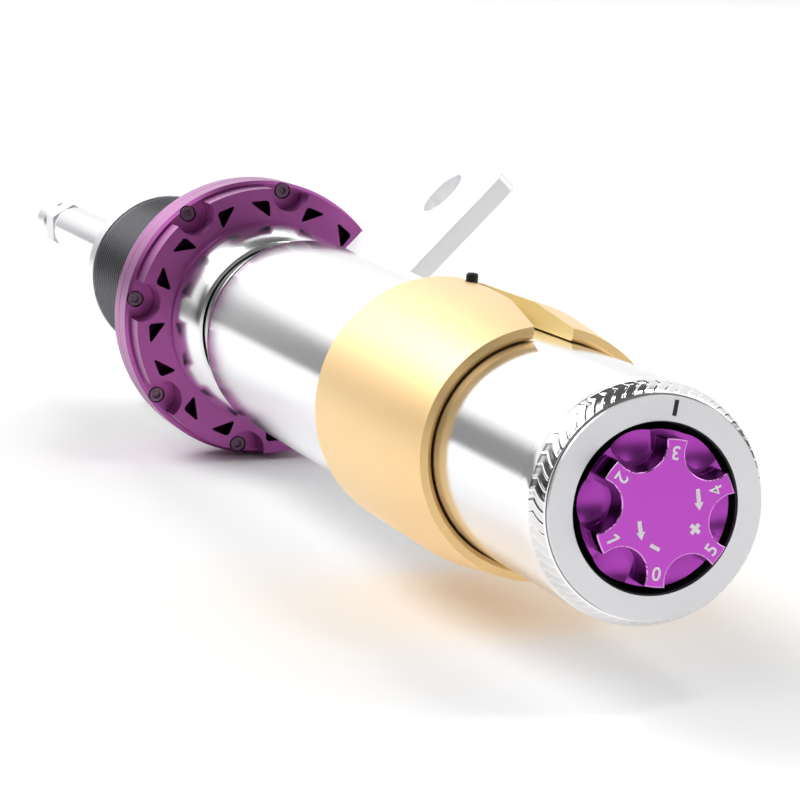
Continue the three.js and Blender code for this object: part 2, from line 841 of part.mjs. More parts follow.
/** Plate on edge that stands out from the tube, with an eye for the drop link. */
function linkBracket() {
  const base = mainRadius + seat;
  const foot = bracketStation + bracketFoot;
  const heel = base + bracketHeel;
  const [eyeX, eyeY] = [bracketStation + eyeStation, mainRadius + eyeHeight];
  const tip = mainRadius + bracketReach;
  const outline = new THREE.Shape();
  outline.moveTo(bracketStation, base);
  outline.lineTo(foot, base);
  outline.lineTo(foot, heel);
  outline.bezierCurveTo(foot - eyeRadius, heel, eyeX + eyeRadius, heel + eyeRadius, eyeX + eyeRadius, eyeY);
  outline.absarc(eyeX, eyeY, eyeRadius, 0, Math.PI / 2, false);
  outline.lineTo(bracketStation + tipRadius, tip);
  outline.quadraticCurveTo(bracketStation, tip, bracketStation, tip - tipRadius);
  outline.holes.push(new THREE.Path().absarc(eyeX, eyeY, eyeBore, 0, 2 * Math.PI, true));
  const plate = new THREE.ExtrudeGeometry(outline, {
    depth: bracketThickness, bevelEnabled: false, curveSegments: 12,
  });
  // drawn with station along X and height along Y: turn station to +Y and height to +X
  const toAxis = new THREE.Matrix4().set(
    0, 1, 0, 0,
    1, 0, 0, -clampCentre,
    0, 0, -1, bracketThickness / 2,
    0, 0, 0, 1,
  );
  return plate.applyMatrix4(toAxis).rotateY(-THREE.MathUtils.degToRad(bracketAngle));
}

// ---------------------------------------------------------------- spring perch
function stopRing() {
  const inner = upperRadius + seat;
  const high = inner + stopRingStart + stopRingRise;
  const end = stopRingAt + stopRingLength;
  return turned([
    [inner, stopRingAt],
    [inner + stopRingStart, stopRingAt],
    [high, stopRingAt + stopRingCone],
    [high, end - edge],
    [high - edge, end],
    [inner, end],
  ]);
}

function threadSleeve() {
  const bore = upperRadius + seat;
  return tube(bore, bore + threadWall, threadStart, threadEnd);
}

/** Threaded ring with eight lobes; a spanner takes its scallops, and paired pockets lighten its lobes. */
function adjustingRing() {
  const outer = ringBore + ringWidth;
  const end = ringStart + ringThickness;
  const middle = ringStart + ringThickness / 2;
  const blank = turned([
    [ringBore, ringStart + edge],
    [ringBore + edge, ringStart],
    [outer - edge, ringStart],
    [outer, ringStart + edge],
    [outer, end],
    [ringBore, end],
  ], perchSides);
  const scallopPlace = ringBore + lobeScallopCentre;
  const scallops = screwAngles().map((angle) => (
    sideBar(lobeScallop, ringStart - past, end + past, scallopPlace, angle, 12)));
  const pockets = [-pocketSpread, pocketSpread].flatMap((side) => (
    spaced(lobeCount, lobeAngle + side, (angle) => pocket(angle, Math.sign(side)))));
  const lockAngle = screwAngles()[lockScrewLobe];
  const lockHole = radialBar(lockScrewRadius + seat, ringBore - past, outer, middle, lockAngle);
  return cut(blank, [...scallops, ...pockets, lockHole]);
}

/** Three-cornered pocket with rounded corners, narrow towards the middle of its lobe. */
function pocket(angle, side) {
  const [w, h, round] = [side * (pocketWidth / 2), pocketHeight / 2, pocketRound];
  const outline = new THREE.Shape();
  outline.moveTo(-h + round, w);
  outline.quadraticCurveTo(-h, w, -h, w - side * round);
  outline.lineTo(h - round, -w);
  outline.quadraticCurveTo(h, -w, h, -w + side * round);
  outline.lineTo(h, w - side * round);
  outline.quadraticCurveTo(h, w, h - round, w);
  const depth = pocketDepth + past;
  const prism = new THREE.ExtrudeGeometry(outline, { depth, bevelEnabled: false, curveSegments: 2 });
  prism.rotateX(Math.PI / 2).translate(0, ringStart + pocketDepth - clampCentre, 0);
  return around(prism, ringBore + pocketCentre, angle);
}

function ringLockScrew() {
  const end = ringBore + lobeScallopCentre - lobeScallop - lockScrewSink;
  const middle = ringStart + ringThickness / 2;
  return radialBar(lockScrewRadius, ringBore + seat, end, middle, screwAngles()[lockScrewLobe]);
}

/** Screw holes are spaced like the ring's scallops, so a tool reaches them past the ring. */
function screwAngles() {
  return spaced(lobeCount, lobeAngle + 180 / lobeCount, (angle) => angle);
}

function springSeat() {
  const outer = ringBore + flangeWidth;
  const end = seatStart + flangeThickness;
  const blank = turned([
    [ringBore, seatStart],
    [outer - edge, seatStart],
    [outer, seatStart + edge],
    [outer, end],
    [ringBore, end],
  ], perchSides);
  const place = ringBore + screwCircle;
  const sink = seatStart + screwHeadHeight + seat;
  const holes = screwAngles().flatMap((angle) => [
    sideBar(screwHead + seat, seatStart - past, sink, place, angle),
    sideBar(screwShank + seat, seatStart, end + past, place, angle, 5),
  ]);
  return cut(blank, holes);
}

/** Second half of the perch: the spring's end coil lies on its flange, round its boss. */
function springLocator() {
  const outer = ringBore + flangeWidth;
  const boss = ringBore + locatorWidth;
  const end = locatorEnd + locatorBoss;
  const blank = turned([
    [ringBore, locatorStart],
    [outer, locatorStart],
    [outer, locatorEnd - edge],
    [outer - edge, locatorEnd],
    [boss, locatorEnd],
    [boss, end - locatorLead],
    [boss - locatorLead, end],
    [ringBore, end],
  ], perchSides);
  const place = ringBore + screwCircle;
  const depth = seatStart + screwLength + seat;
  const holes = screwAngles().map((angle) => (
    sideBar(screwShank + seat, locatorStart - past, depth, place, angle, 5)));
  return cut(blank, holes);
}

function seatScrew(angle) {
  const place = ringBore + screwCircle;
  const underHead = seatStart + screwHeadHeight;
  const head = bar(screwHead, seatStart, underHead, smallSides);
  const shank = bar(screwShank, seatStart + screwSocket, seatStart + screwLength, 5);
  const socket = bar(screwSocket, seatStart - past, seatStart + screwSocket, 6);
  return around(cut(join([head, shank]), [socket]), place, angle);
}

// ---------------------------------------------------------------- assembly
add('strut_tube', strutTube(), ...polished);
add('end_plug', endPlug(), ...satin);
add('bump_knob', bumpKnob(), ...magenta);
add('knob_seal', knobSeal(), ...rubber);
add('knob_snap_ring', snapRing(), ...darkSteel);
add('bump_spindle', bumpSpindle(), ...steel);
add('bump_needle', bumpNeedle(), ...steel);
add('detent_ball', detentBallShape(), ...polished);
add('detent_spring', detentSpring(), ...steel);
add('base_valve_body', baseValveBody(), ...steel);
add('base_valve_shims', shims(boltRadius + seat, valveEnd + seat, true), ...darkSteel);
add('base_valve_bolt', baseValveBolt(), ...steel);
add('base_valve_nut', baseValveNut(), ...steel);
add('pressure_tube', innerTube(pressureBore, pressureRadius, pressureStart, pressureEnd), ...steel);
add('piston', piston(), ...steel);
add('piston_band', pistonBand(), ...black);
add('rebound_shims', shims(studRadius + seat, reboundShims, false), ...darkSteel);
add('compression_shims', shims(studRadius + seat, compressionShims, true), ...darkSteel);
add('piston_nut', studNut(pistonNutFlats, pistonNutStart, pistonNut), ...steel);
add('backing_plate', washer(pressureBore - bumperRelief, plateStart, backingPlate), ...steel);
add('top_out_bumper', topOutBumper(), ...rubber);
add('piston_rod', pistonRod(), ...polished);
add('rebound_rod', reboundRod(), ...steel);
add('rebound_knob', reboundKnob(), ...white);
add('top_washer', washer(studRadius + seat + washerWidth, washerStart, washerThickness), ...satin);
add('top_nut', studNut(topNutFlats, topNutStart, topNutHeight), ...satin);
add('rod_guide', rodGuide(), ...steel);
add('rod_bush', rodBush(), ...darkSteel);
add('rod_seal', rodSeal(), ...rubber);
add('rod_wiper', wiper(), ...rubber);
add('end_cap', endCap(), ...satin);
add('clamp_sleeve', clampSleeve(), ...gold);
add('locating_pin', locatingPin(), ...black);
add('link_bracket', linkBracket(), ...white);
add('perch_stop_ring', stopRing(), ...polished);
add('thread_sleeve', threadSleeve(), ...darkSteel);
add('adjusting_ring', adjustingRing(), ...purple);
add('ring_lock_screw', ringLockScrew(), ...black);
add('spring_seat', springSeat(), ...purple);
add('spring_locator', springLocator(), ...purple);
screwAngles().forEach((angle, i) => add(`seat_screw_${i + 1}`, seatScrew(angle), ...steel));

export default strut;
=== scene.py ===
# %% [markdown]
# # A height-adjustable suspension strut
# The strut lies along the Y axis: the numbered adjuster wheel is at the near end and the piston rod
# at the far end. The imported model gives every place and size. This lesson makes the fine surfaces
# round it: turned tubes, a rope-knurled edge, a star wheel, a lobed perch ring and a real thread.

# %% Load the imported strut
import json
import math

import bmesh
import bpy
from mathutils import Matrix, Vector


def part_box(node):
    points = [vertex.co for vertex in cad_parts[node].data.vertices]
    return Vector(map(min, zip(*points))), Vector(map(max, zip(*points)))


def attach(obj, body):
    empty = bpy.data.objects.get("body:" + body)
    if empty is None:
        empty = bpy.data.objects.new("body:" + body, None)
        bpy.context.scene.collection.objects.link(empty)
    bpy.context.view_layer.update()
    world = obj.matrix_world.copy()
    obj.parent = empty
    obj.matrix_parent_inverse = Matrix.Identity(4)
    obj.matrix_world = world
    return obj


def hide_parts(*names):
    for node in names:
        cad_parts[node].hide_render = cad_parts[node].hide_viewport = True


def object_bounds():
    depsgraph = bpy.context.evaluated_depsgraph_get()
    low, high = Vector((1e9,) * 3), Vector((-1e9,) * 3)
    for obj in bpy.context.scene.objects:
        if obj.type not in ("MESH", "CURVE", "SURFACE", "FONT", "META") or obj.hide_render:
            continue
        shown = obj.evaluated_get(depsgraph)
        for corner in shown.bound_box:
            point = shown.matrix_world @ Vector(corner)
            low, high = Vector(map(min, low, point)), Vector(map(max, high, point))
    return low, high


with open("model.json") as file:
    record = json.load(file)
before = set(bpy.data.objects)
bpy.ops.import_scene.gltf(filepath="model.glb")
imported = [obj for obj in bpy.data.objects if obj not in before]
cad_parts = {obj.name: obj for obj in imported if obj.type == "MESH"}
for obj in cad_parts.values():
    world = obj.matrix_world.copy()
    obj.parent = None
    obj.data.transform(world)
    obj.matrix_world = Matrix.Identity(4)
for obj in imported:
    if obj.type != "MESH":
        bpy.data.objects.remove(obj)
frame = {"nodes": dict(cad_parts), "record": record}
cad_low, cad_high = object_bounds()
MM = 0.001
AXIS = (0.0, 1.0, 0.0)

# %% [markdown]
# Most pieces are turned on a lathe, so three numbers say where each one is: its radius, where it
# starts and where it ends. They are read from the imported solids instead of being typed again, so
# the looks follow when a size changes. A facet's corner lies on the true circle, and every solid has
# a corner straight down, so the lowest corner gives the radius.

# %% Read radius, start and end of a turned node


def radius(node):
    return -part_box(node)[0].z


def start(node):
    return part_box(node)[0].y


def end(node):
    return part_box(node)[1].y


face = start("end_plug")
print(f"end face at y = {face / MM:.1f} mm, main tube radius {radius('strut_tube') / MM:.1f} mm")

# %% [markdown]
# ## Camera
# The photograph was taken from a little above the wheel and to its left, with a long lens, because
# the tube gets smaller along its length but keeps its roundness. The place and the direction were
# fitted to the ellipses of the end ring, the sleeve and the perch.

# %% Camera
CAMERA_PLACE = (-0.20025, -0.5730, 0.1024)
VIEW_DIRECTION = (0.2978, 0.9416, -0.1572)
LENS = 135
camera_data = bpy.data.cameras.new("camera")
camera_data.lens = LENS
camera_data.sensor_width = 36
camera_data.clip_end = 100
camera = bpy.data.objects.new("camera", camera_data)
bpy.context.scene.collection.objects.link(camera)
camera.location = CAMERA_PLACE
camera.rotation_mode = "QUATERNION"
camera.rotation_quaternion = Vector(VIEW_DIRECTION).to_track_quat("-Z", "Y")
bpy.context.scene.camera = camera
bpy.context.scene.view_settings.view_transform = "Standard"
print(f"camera: {LENS} mm lens, {Vector(CAMERA_PLACE).length / MM:.0f} mm from the sleeve's middle")

# %% [markdown]
# ## Floor and light
# Bare metal shows what is round it, so the light is half of its finish. The strut was lit like any
# small product: white paper under it, a white tent ahead, and a dark room behind the photographer.
# The paper is a wide dull disc just under the lowest point. A plane would do as well, but a disc has
# no corner that another view could show.

# %% Floor
FLOOR_RADIUS = 14
FLOOR_GAP = 0.6 * MM
PAPER_WHITE = (0.97, 0.97, 0.97)
floor_mesh = bpy.data.meshes.new("floor")
bm = bmesh.new()
bmesh.ops.create_circle(bm, cap_ends=True, segments=96, radius=FLOOR_RADIUS)
bmesh.ops.translate(bm, verts=bm.verts, vec=(0, 0, cad_low.z - FLOOR_GAP))
bm.to_mesh(floor_mesh)
bm.free()
floor = bpy.data.objects.new("floor", floor_mesh)
bpy.context.scene.collection.objects.link(floor)
paper = bpy.data.materials.new("white_paper")
paper.use_nodes = True
paper_shader = paper.node_tree.nodes["Principled BSDF"]
paper_shader.inputs["Base Color"].default_value = (*PAPER_WHITE, 1)
paper_shader.inputs["Roughness"].default_value = 0.9
paper_shader.inputs["Specular IOR Level"].default_value = 0.1
floor_mesh.materials.append(paper)
print(f"floor: a disc of {FLOOR_RADIUS} m radius, {FLOOR_GAP / MM:.1f} mm below the strut")

# %% [markdown]
# White cards could stand round the strut, but a sky that is painted by direction does the same with
# a few nodes, and casts no shadow. A ramp leads from the dark room to the white tent. A bright
# window stands high on the left, another on the right, and a hot spot ahead. The grey gap between
# paper and tent is a soft-edged strip low on the left: it draws the dark band along the tube.

# %% Sky of the white tent
ROOM = 0.12
TENT = 0.98
LEFT_WINDOW = 1.7
RIGHT_WINDOW = 1.1
HOT_SPOT = 1.2
GAP = 0.30
world = bpy.data.worlds.new("tent")
bpy.context.scene.world = world
world.use_nodes = True
sky = world.node_tree
direction = sky.nodes.new("ShaderNodeTexCoord").outputs["Generated"]
towards = sky.nodes.new("ShaderNodeSeparateXYZ")
sky.links.new(direction, towards.inputs["Vector"])


def combine(operation, first, second):
    node = sky.nodes.new("ShaderNodeMath")
    node.operation = operation
    for socket, value in zip(node.inputs, (first, second)):
        if isinstance(value, float):
            socket.default_value = value
        else:
            sky.links.new(value, socket)
    return node.outputs["Value"]


def ramp(axis, dark, bright):
    """0 where the direction's part along this axis is at dark, 1 at bright, with soft ends."""
    node = sky.nodes.new("ShaderNodeMapRange")
    node.interpolation_type = "SMOOTHSTEP"
    node.inputs["From Min"].default_value = dark
    node.inputs["From Max"].default_value = bright
    sky.links.new(towards.outputs[axis], node.inputs["Value"])
    return node.outputs["Result"]


def patch(first, second):
    """A soft-edged patch of sky from two ramps, each given as (axis, dark, bright)."""
    return combine("MULTIPLY", ramp(*first), ramp(*second))


tent = combine("MULTIPLY", patch(("Y", 0.42, 0.75), ("Z", 0.60, 0.45)), TENT - ROOM)
tent = combine("ADD", tent, ROOM)
left_window = patch(("X", -0.15, -0.30), ("Z", 0.40, 0.62))
tent = combine("MAXIMUM", tent, combine("MULTIPLY", left_window, LEFT_WINDOW))
right_window = patch(("X", 0.28, 0.42), ("Z", 0.20, 0.35))
tent = combine("MAXIMUM", tent, combine("MULTIPLY", right_window, RIGHT_WINDOW))
hot_spot = patch(("Y", 0.88, 0.96), ("Z", 0.18, 0.30))
tent = combine("ADD", tent, combine("MULTIPLY", hot_spot, HOT_SPOT))
gap = combine("MULTIPLY", patch(("X", -0.12, -0.30), ("Z", 0.21, 0.13)), 1 - GAP)
strength = combine("MULTIPLY", tent, combine("SUBTRACT", 1.0, gap))
sky.links.new(strength, sky.nodes["Background"].inputs["Strength"])
sky.nodes["Background"].inputs["Color"].default_value = (1, 1, 1, 1)
print("sky:", len(sky.nodes), "nodes")

# %% [markdown]
# Lamps add what the sky can't: shadows and small points of light. Straight up the sky is dark but for
# one small lamp, which draws thin bright lines on the knurled edge. A lamp far behind the strut, aimed
# away from it, makes the paper there pure white.

# %% Lamps


def softbox(name, place, target, size, watts):
    data = bpy.data.lights.new(name, "AREA")
    data.shape = "SQUARE"
    data.size = size
    data.energy = watts
    lamp = bpy.data.objects.new(name, data)
    lamp.location = place
    lamp.rotation_mode = "QUATERNION"
    lamp.rotation_quaternion = (Vector(target) - Vector(place)).to_track_quat("-Z", "Y")
    bpy.context.scene.collection.objects.link(lamp)
    print(f"{name}: {watts} W")


softbox("softbox_key", place=(-0.65, 0.95, 0.95), target=(0, 0.1, 0), size=0.6, watts=7)
softbox("softbox_right", place=(1.3, -0.4, 0.9), target=(0, 0, 0), size=0.8, watts=3)
softbox("softbox_top", place=(0.27, -0.22, 0.84), target=(0, -0.09, 0), size=0.2, watts=1)
softbox("softbox_back", place=(0.6, 3.2, 2.4), target=(0.6, 4.2, 0), size=1.6, watts=26)

# %% [markdown]
# ## Finishes
# Each finish is one principled shader. Turned and brushed metal has marks that run round the axis,
# so its noise is stretched: very fine along Y and long round the piece. The marks change both the
# gloss and, through a bump, the shape of the highlight. Anodised aluminium is the same metal with a
# coloured reflection under a clear oxide film. The film adds white at a flat angle, so it is a coat.

# %% A metal with turning marks
MARK_STRETCH = 60
NOISE_LOW, NOISE_HIGH = 0.3, 0.7
GRAIN_DEPTH = 0.02 * MM
OXIDE_IOR = 1.6
SMOOTHEST = 0.02


def metal(name, colour, roughness, marks=0.0, variation=0.03, mark_width=0.12, metallic=1.0, film=0.0):
    """marks is the depth of the turning marks, as a bump strength; mark_width is in millimetres."""
    material = bpy.data.materials.new(name)
    material.use_nodes = True
    tree = material.node_tree
    shader = tree.nodes["Principled BSDF"]
    shader.inputs["Base Color"].default_value = (*colour, 1)
    shader.inputs["Metallic"].default_value = metallic
    shader.inputs["Coat Weight"].default_value = film
    shader.inputs["Coat IOR"].default_value = OXIDE_IOR
    shader.inputs["Coat Roughness"].default_value = roughness
    place = tree.nodes.new("ShaderNodeTexCoord")
    stretch = tree.nodes.new("ShaderNodeMapping")
    fine = 1 / (mark_width * MM)
    stretch.inputs["Scale"].default_value = (fine / MARK_STRETCH, fine, fine / MARK_STRETCH)
    noise = tree.nodes.new("ShaderNodeTexNoise")
    noise.inputs["Scale"].default_value = 1
    noise.inputs["Detail"].default_value = 4
    spread = tree.nodes.new("ShaderNodeMapRange")
    spread.inputs["From Min"].default_value = NOISE_LOW
    spread.inputs["From Max"].default_value = NOISE_HIGH
    spread.inputs["To Min"].default_value = max(SMOOTHEST, roughness - variation)
    spread.inputs["To Max"].default_value = roughness + variation
    links = tree.links
    links.new(place.outputs["Object"], stretch.inputs["Vector"])
    links.new(stretch.outputs["Vector"], noise.inputs["Vector"])
    links.new(noise.outputs["Fac"], spread.inputs["Value"])
    links.new(spread.outputs["Result"], shader.inputs["Roughness"])
    if marks:
        bump = tree.nodes.new("ShaderNodeBump")
        bump.inputs["Strength"].default_value = marks
        bump.inputs["Distance"].default_value = GRAIN_DEPTH
        links.new(noise.outputs["Fac"], bump.inputs["Height"])
        links.new(bump.outputs["Normal"], shader.inputs["Normal"])
    print(f"{name}: roughness {roughness}")
    return material


brushed_steel = metal("brushed_steel", (0.90, 0.90, 0.92), 0.13, marks=0.25, variation=0.04)
polished_steel = metal("polished_steel", (0.90, 0.90, 0.91), 0.20)
knurled_steel = metal("knurled_steel", (0.92, 0.92, 0.93), 0.10, variation=0.02)
face_aluminium = metal("face_aluminium", (0.80, 0.80, 0.82), 0.42, marks=0.1, mark_width=0.3)
silver_anodised = metal("silver_anodised", (0.86, 0.86, 0.89), 0.28, marks=0.1)
gold_anodised = metal("gold_anodised", (0.98, 0.68, 0.29), 0.49, marks=0.12, variation=0.04, film=1.0)
# a paler gold for the slot's walls: painted light
gold_slot_painted_light = metal("gold_slot_painted_light", (1.0, 0.84, 0.46), 0.52, marks=0.1, mark_width=0.4, metallic=0.7)
purple_anodised = metal("purple_anodised", (0.36, 0.09, 0.31), 0.36, marks=0.1, film=0.12)
pocket_shade = metal("pocket_shade", (0.05, 0.008, 0.045), 0.5)
wheel_anodised = metal("wheel_anodised", (0.46, 0.078, 0.50), 0.14, mark_width=0.6)
wheel_floor = metal("wheel_floor", (0.40, 0.06, 0.44), 0.30, mark_width=0.6)
# a paler purple for the star's bevel: a painted highlight
wheel_edge_highlight = metal("wheel_edge_highlight", (0.74, 0.31, 0.75), 0.15, variation=0.02, mark_width=0.6)
# near black for the walls of the scallops: painted shade and reflection
wheel_wall_painted_shade = metal("wheel_wall_painted_shade", (0.05, 0.004, 0.06), 0.12, variation=0.02, mark_width=0.6)
thread_anodised = metal("thread_anodised", (0.10, 0.10, 0.11), 0.33, marks=0.1, metallic=0.9)
rod_chrome = metal("rod_chrome", (0.88, 0.88, 0.91), 0.08, variation=0.02)
pale_zinc = metal("pale_zinc", (0.93, 0.93, 0.95), 0.40, variation=0.08, mark_width=0.5, metallic=0.4)
plain_steel = metal("plain_steel", (0.45, 0.45, 0.47), 0.35, marks=0.2)
dark_screw = metal("dark_screw", (0.17, 0.11, 0.16), 0.36)
black_steel = metal("black_steel", (0.03, 0.03, 0.03), 0.38, metallic=0.7)

# %% [markdown]
# The knurled edge's valleys get painted shade. Painting them would need an image, so the mesh will
# say how deep each point lies, and the finish turns darker there.

# %% Painted shade in the knurled edge's valleys
RIDGE_STEEL = (0.92, 0.92, 0.93)
SHADED_VALLEY_STEEL = (0.76, 0.75, 0.74)
knurled_tree = knurled_steel.node_tree
valley_depth = knurled_tree.nodes.new("ShaderNodeAttribute")
valley_depth.attribute_name = "valley"
# painted shade: the deeper a point lies in a valley, the darker its steel
valley_shade = knurled_tree.nodes.new("ShaderNodeMix")
valley_shade.data_type = "RGBA"
valley_shade.inputs["A"].default_value = (*RIDGE_STEEL, 1)
valley_shade.inputs["B"].default_value = (*SHADED_VALLEY_STEEL, 1)
knurled_tree.links.new(valley_depth.outputs["Fac"], valley_shade.inputs["Factor"])
knurled_tree.links.new(valley_shade.outputs["Result"], knurled_tree.nodes["Principled BSDF"].inputs["Base Color"])
print("the knurl's colour follows the attribute", valley_depth.attribute_name)

# %% [markdown]
# Rubber and plastic don't shine like metal: light enters them and comes back dull. A fine grain from
# the mould breaks up what little gloss there is. Print and paint are made the same way.

# %% Rubber, plastic and print
GRAIN_SCALE = 2500
GRAIN_SHADE = 0.85


def dull(name, colour, roughness, grain=0.3):
    material = bpy.data.materials.new(name)
    material.use_nodes = True
    tree = material.node_tree
    shader = tree.nodes["Principled BSDF"]
    place = tree.nodes.new("ShaderNodeTexCoord")
    noise = tree.nodes.new("ShaderNodeTexNoise")
    noise.inputs["Scale"].default_value = GRAIN_SCALE
    noise.inputs["Detail"].default_value = 3
    tint = tree.nodes.new("ShaderNodeMix")
    tint.data_type = "RGBA"
    tint.inputs["A"].default_value = (*[GRAIN_SHADE * c for c in colour], 1)
    tint.inputs["B"].default_value = (*colour, 1)
    bump = tree.nodes.new("ShaderNodeBump")
    bump.inputs["Strength"].default_value = grain
    bump.inputs["Distance"].default_value = GRAIN_DEPTH
    shader.inputs["Roughness"].default_value = roughness
    links = tree.links
    links.new(place.outputs["Object"], noise.inputs["Vector"])
    links.new(noise.outputs["Fac"], tint.inputs["Factor"])
    links.new(tint.outputs["Result"], shader.inputs["Base Color"])
    links.new(noise.outputs["Fac"], bump.inputs["Height"])
    links.new(bump.outputs["Normal"], shader.inputs["Normal"])
    print(f"{name}: roughness {roughness}")
    return material


seal_rubber = dull("seal_rubber", (0.02, 0.02, 0.022), 0.6)
band_plastic = dull("band_plastic", (0.05, 0.05, 0.055), 0.5)
white_print = dull("white_print", (0.86, 0.84, 0.88), 0.45, grain=0.05)
# black for the index mark's paint, and for the painted shade in the wheel's cavity
black_paint_and_shade = dull("black_paint_and_shade", (0.012, 0.012, 0.014), 0.5, grain=0.1)

# %% [markdown]
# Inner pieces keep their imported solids, because nothing shows them. They still get a finish, by the
# material slot that the record gives each one.

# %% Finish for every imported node
FINISH_OF_SLOT = {
    "polished_steel": brushed_steel,
    "satin_aluminium": face_aluminium,
    "magenta_anodised": wheel_anodised,
    "seal_rubber": seal_rubber,
    "spring_steel": plain_steel,
    "plain_steel": plain_steel,
    "band_plastic": band_plastic,
    "rod_chrome": rod_chrome,
    "knob_white": silver_anodised,
    "gold_anodised": gold_anodised,
    "black_steel": black_steel,
    "zinc_white": pale_zinc,
    "dark_thread": thread_anodised,
    "purple_anodised": purple_anodised,
}
for part in frame["record"]["subparts"]:
    materials = frame["nodes"][part["node"]].data.materials
    materials.clear()
    materials.append(FINISH_OF_SLOT[part["material_slot"]])
print(len(frame["nodes"]), "packed nodes have a finish")

# %% [markdown]
# ## Helpers for turned pieces
# A turned piece is a profile spun about the axis. The Screw modifier could do it, but
# `bmesh.ops.spin` leaves a mesh that can be cut and pushed further: a closed chain of edges becomes a
# ring, and a chain that starts and ends on the axis becomes a solid. 180 steps keep a mirror finish
# round.

# %% Spin a profile
SPIN_STEPS = 180
SAME_PLACE = 0.0002 * MM


def clean(bm):
    bmesh.ops.remove_doubles(bm, verts=bm.verts, dist=SAME_PLACE)
    bmesh.ops.recalc_face_normals(bm, faces=bm.faces)


def chain(bm, profile):
    """Vertices and edges of a profile of (radius, y) pairs; it closes unless both ends are on the axis."""
    verts = [bm.verts.new((r, y, 0)) for r, y in profile]
    edges = [bm.edges.new(pair) for pair in zip(verts, verts[1:])]
    if profile[0][0] > 0 or profile[-1][0] > 0:
        edges.append(bm.edges.new((verts[-1], verts[0])))
    return verts + edges


def spun(profile, steps=SPIN_STEPS):
    bm = bmesh.new()
    bmesh.ops.spin(bm, geom=chain(bm, profile), axis=AXIS, cent=(0, 0, 0),
                   steps=steps, angle=2 * math.pi, use_merge=True)
    clean(bm)
    return bm


print(f"a full turn has {SPIN_STEPS} steps of {360 / SPIN_STEPS:.0f} degrees")

# %% [markdown]
# A real edge always catches a thin line of light, so a bevel modifier breaks the sharp ones. The
# bevel may also get a paler finish of its own, a painted highlight. Every piece is kept in one way:
# it rides on its body, takes its finish and hides the imported nodes that it stands for.

# %% Keep a bmesh as a finished piece
BEVEL_STEPS = 2
BEVEL_ANGLE = 30
WALL_LEAN = 0.5


def keep(bm, name, body, finish, replaced=(), edge=0.0, sharp=35, walls=None, edge_highlight=None):
    """edge is the bevel's width, and the bevel may get a finish of its own, a painted highlight; walls is
    the finish of faces along the axis, used for painted shade.
    """
    mesh = bpy.data.meshes.new(name)
    bm.to_mesh(mesh)
    bm.free()
    mesh.shade_smooth()
    mesh.materials.append(finish)
    if walls:
        mesh.materials.append(walls)
        for polygon in mesh.polygons:
            polygon.material_index = int(abs(polygon.normal.y) < WALL_LEAN)
    piece = bpy.data.objects.new(name, mesh)
    bpy.context.scene.collection.objects.link(piece)
    if edge:
        bevel = piece.modifiers.new("broken_edges", "BEVEL")
        bevel.width = edge
        bevel.segments = BEVEL_STEPS
        bevel.limit_method = "ANGLE"
        bevel.angle_limit = math.radians(BEVEL_ANGLE)
        bevel.harden_normals = True
        if edge_highlight:
            mesh.materials.append(edge_highlight)
            bevel.material = len(mesh.materials) - 1
            bevel.use_clamp_overlap = False
    else:
        mesh.set_sharp_from_angle(angle=math.radians(sharp))
    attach(piece, body)
    if replaced:
        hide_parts(*replaced)
    print(f"{name}: {len(mesh.vertices)} vertices, rides on {body}")
    return piece


print(f"bevels: {BEVEL_STEPS} segments, on edges sharper than {BEVEL_ANGLE} degrees")

# %% [markdown]
# Slots, scallops and holes are milled into the turned blank, and the exact boolean does the same: it
# keeps flat faces flat and leaves the round ones alone. The cutters are plain bars and boxes, made on
# the axis and then swung to their places.

# %% Cut shapes out of a bmesh


def carve(bm, *cutters):
    """The first shape with the cutters taken away, by the exact boolean modifier."""
    shapes = []
    for i, shape in enumerate((bm, *cutters)):
        mesh = bpy.data.meshes.new(f"carve_{i}")
        shape.to_mesh(mesh)
        shape.free()
        shapes.append(bpy.data.objects.new(f"carve_{i}", mesh))
        bpy.context.scene.collection.objects.link(shapes[-1])
    body = shapes[0]
    for cutter in shapes[1:]:
        modifier = body.modifiers.new("cut", "BOOLEAN")
        modifier.operation = "DIFFERENCE"
        modifier.solver = "EXACT"
        modifier.object = cutter
    bpy.context.view_layer.update()
    evaluated = body.evaluated_get(bpy.context.evaluated_depsgraph_get())
    result = bmesh.new()
    result.from_mesh(evaluated.to_mesh())
    evaluated.to_mesh_clear()
    for shape in shapes:
        mesh = shape.data
        bpy.data.objects.remove(shape)
        bpy.data.meshes.remove(mesh)
    clean(result)
    return result


print("carve: a boolean for each cutter")

# %% Bars, boxes and how they are swung


def round_bar(size, y0, y1, sides=64):
    """A bar along Y on the axis."""
    bm = bmesh.new()
    bmesh.ops.create_cone(bm, cap_ends=True, segments=sides, radius1=size, radius2=size, depth=y1 - y0)
    bmesh.ops.rotate(bm, verts=bm.verts, matrix=Matrix.Rotation(-math.pi / 2, 3, "X"))
    bmesh.ops.translate(bm, verts=bm.verts, vec=(0, (y0 + y1) / 2, 0))
    return bm


def block(width, y0, y1, height):
    """A box on the axis: width along X, from y0 to y1, height along Z."""
    bm = bmesh.new()
    bmesh.ops.create_cube(bm, size=1)
    bmesh.ops.scale(bm, verts=bm.verts, vec=(width, y1 - y0, height))
    bmesh.ops.translate(bm, verts=bm.verts, vec=(0, (y0 + y1) / 2, 0))
    return bm


def thicken(corners, offset):
    """A flat outline of corners, extruded by offset into a closed solid."""
    bm = bmesh.new()
    outline = bm.faces.new([bm.verts.new(corner) for corner in corners])
    grown = bmesh.ops.extrude_face_region(bm, geom=[outline])["geom"]
    far_side = [item for item in grown if isinstance(item, bmesh.types.BMVert)]
    bmesh.ops.translate(bm, verts=far_side, vec=offset)
    clean(bm)
    return bm


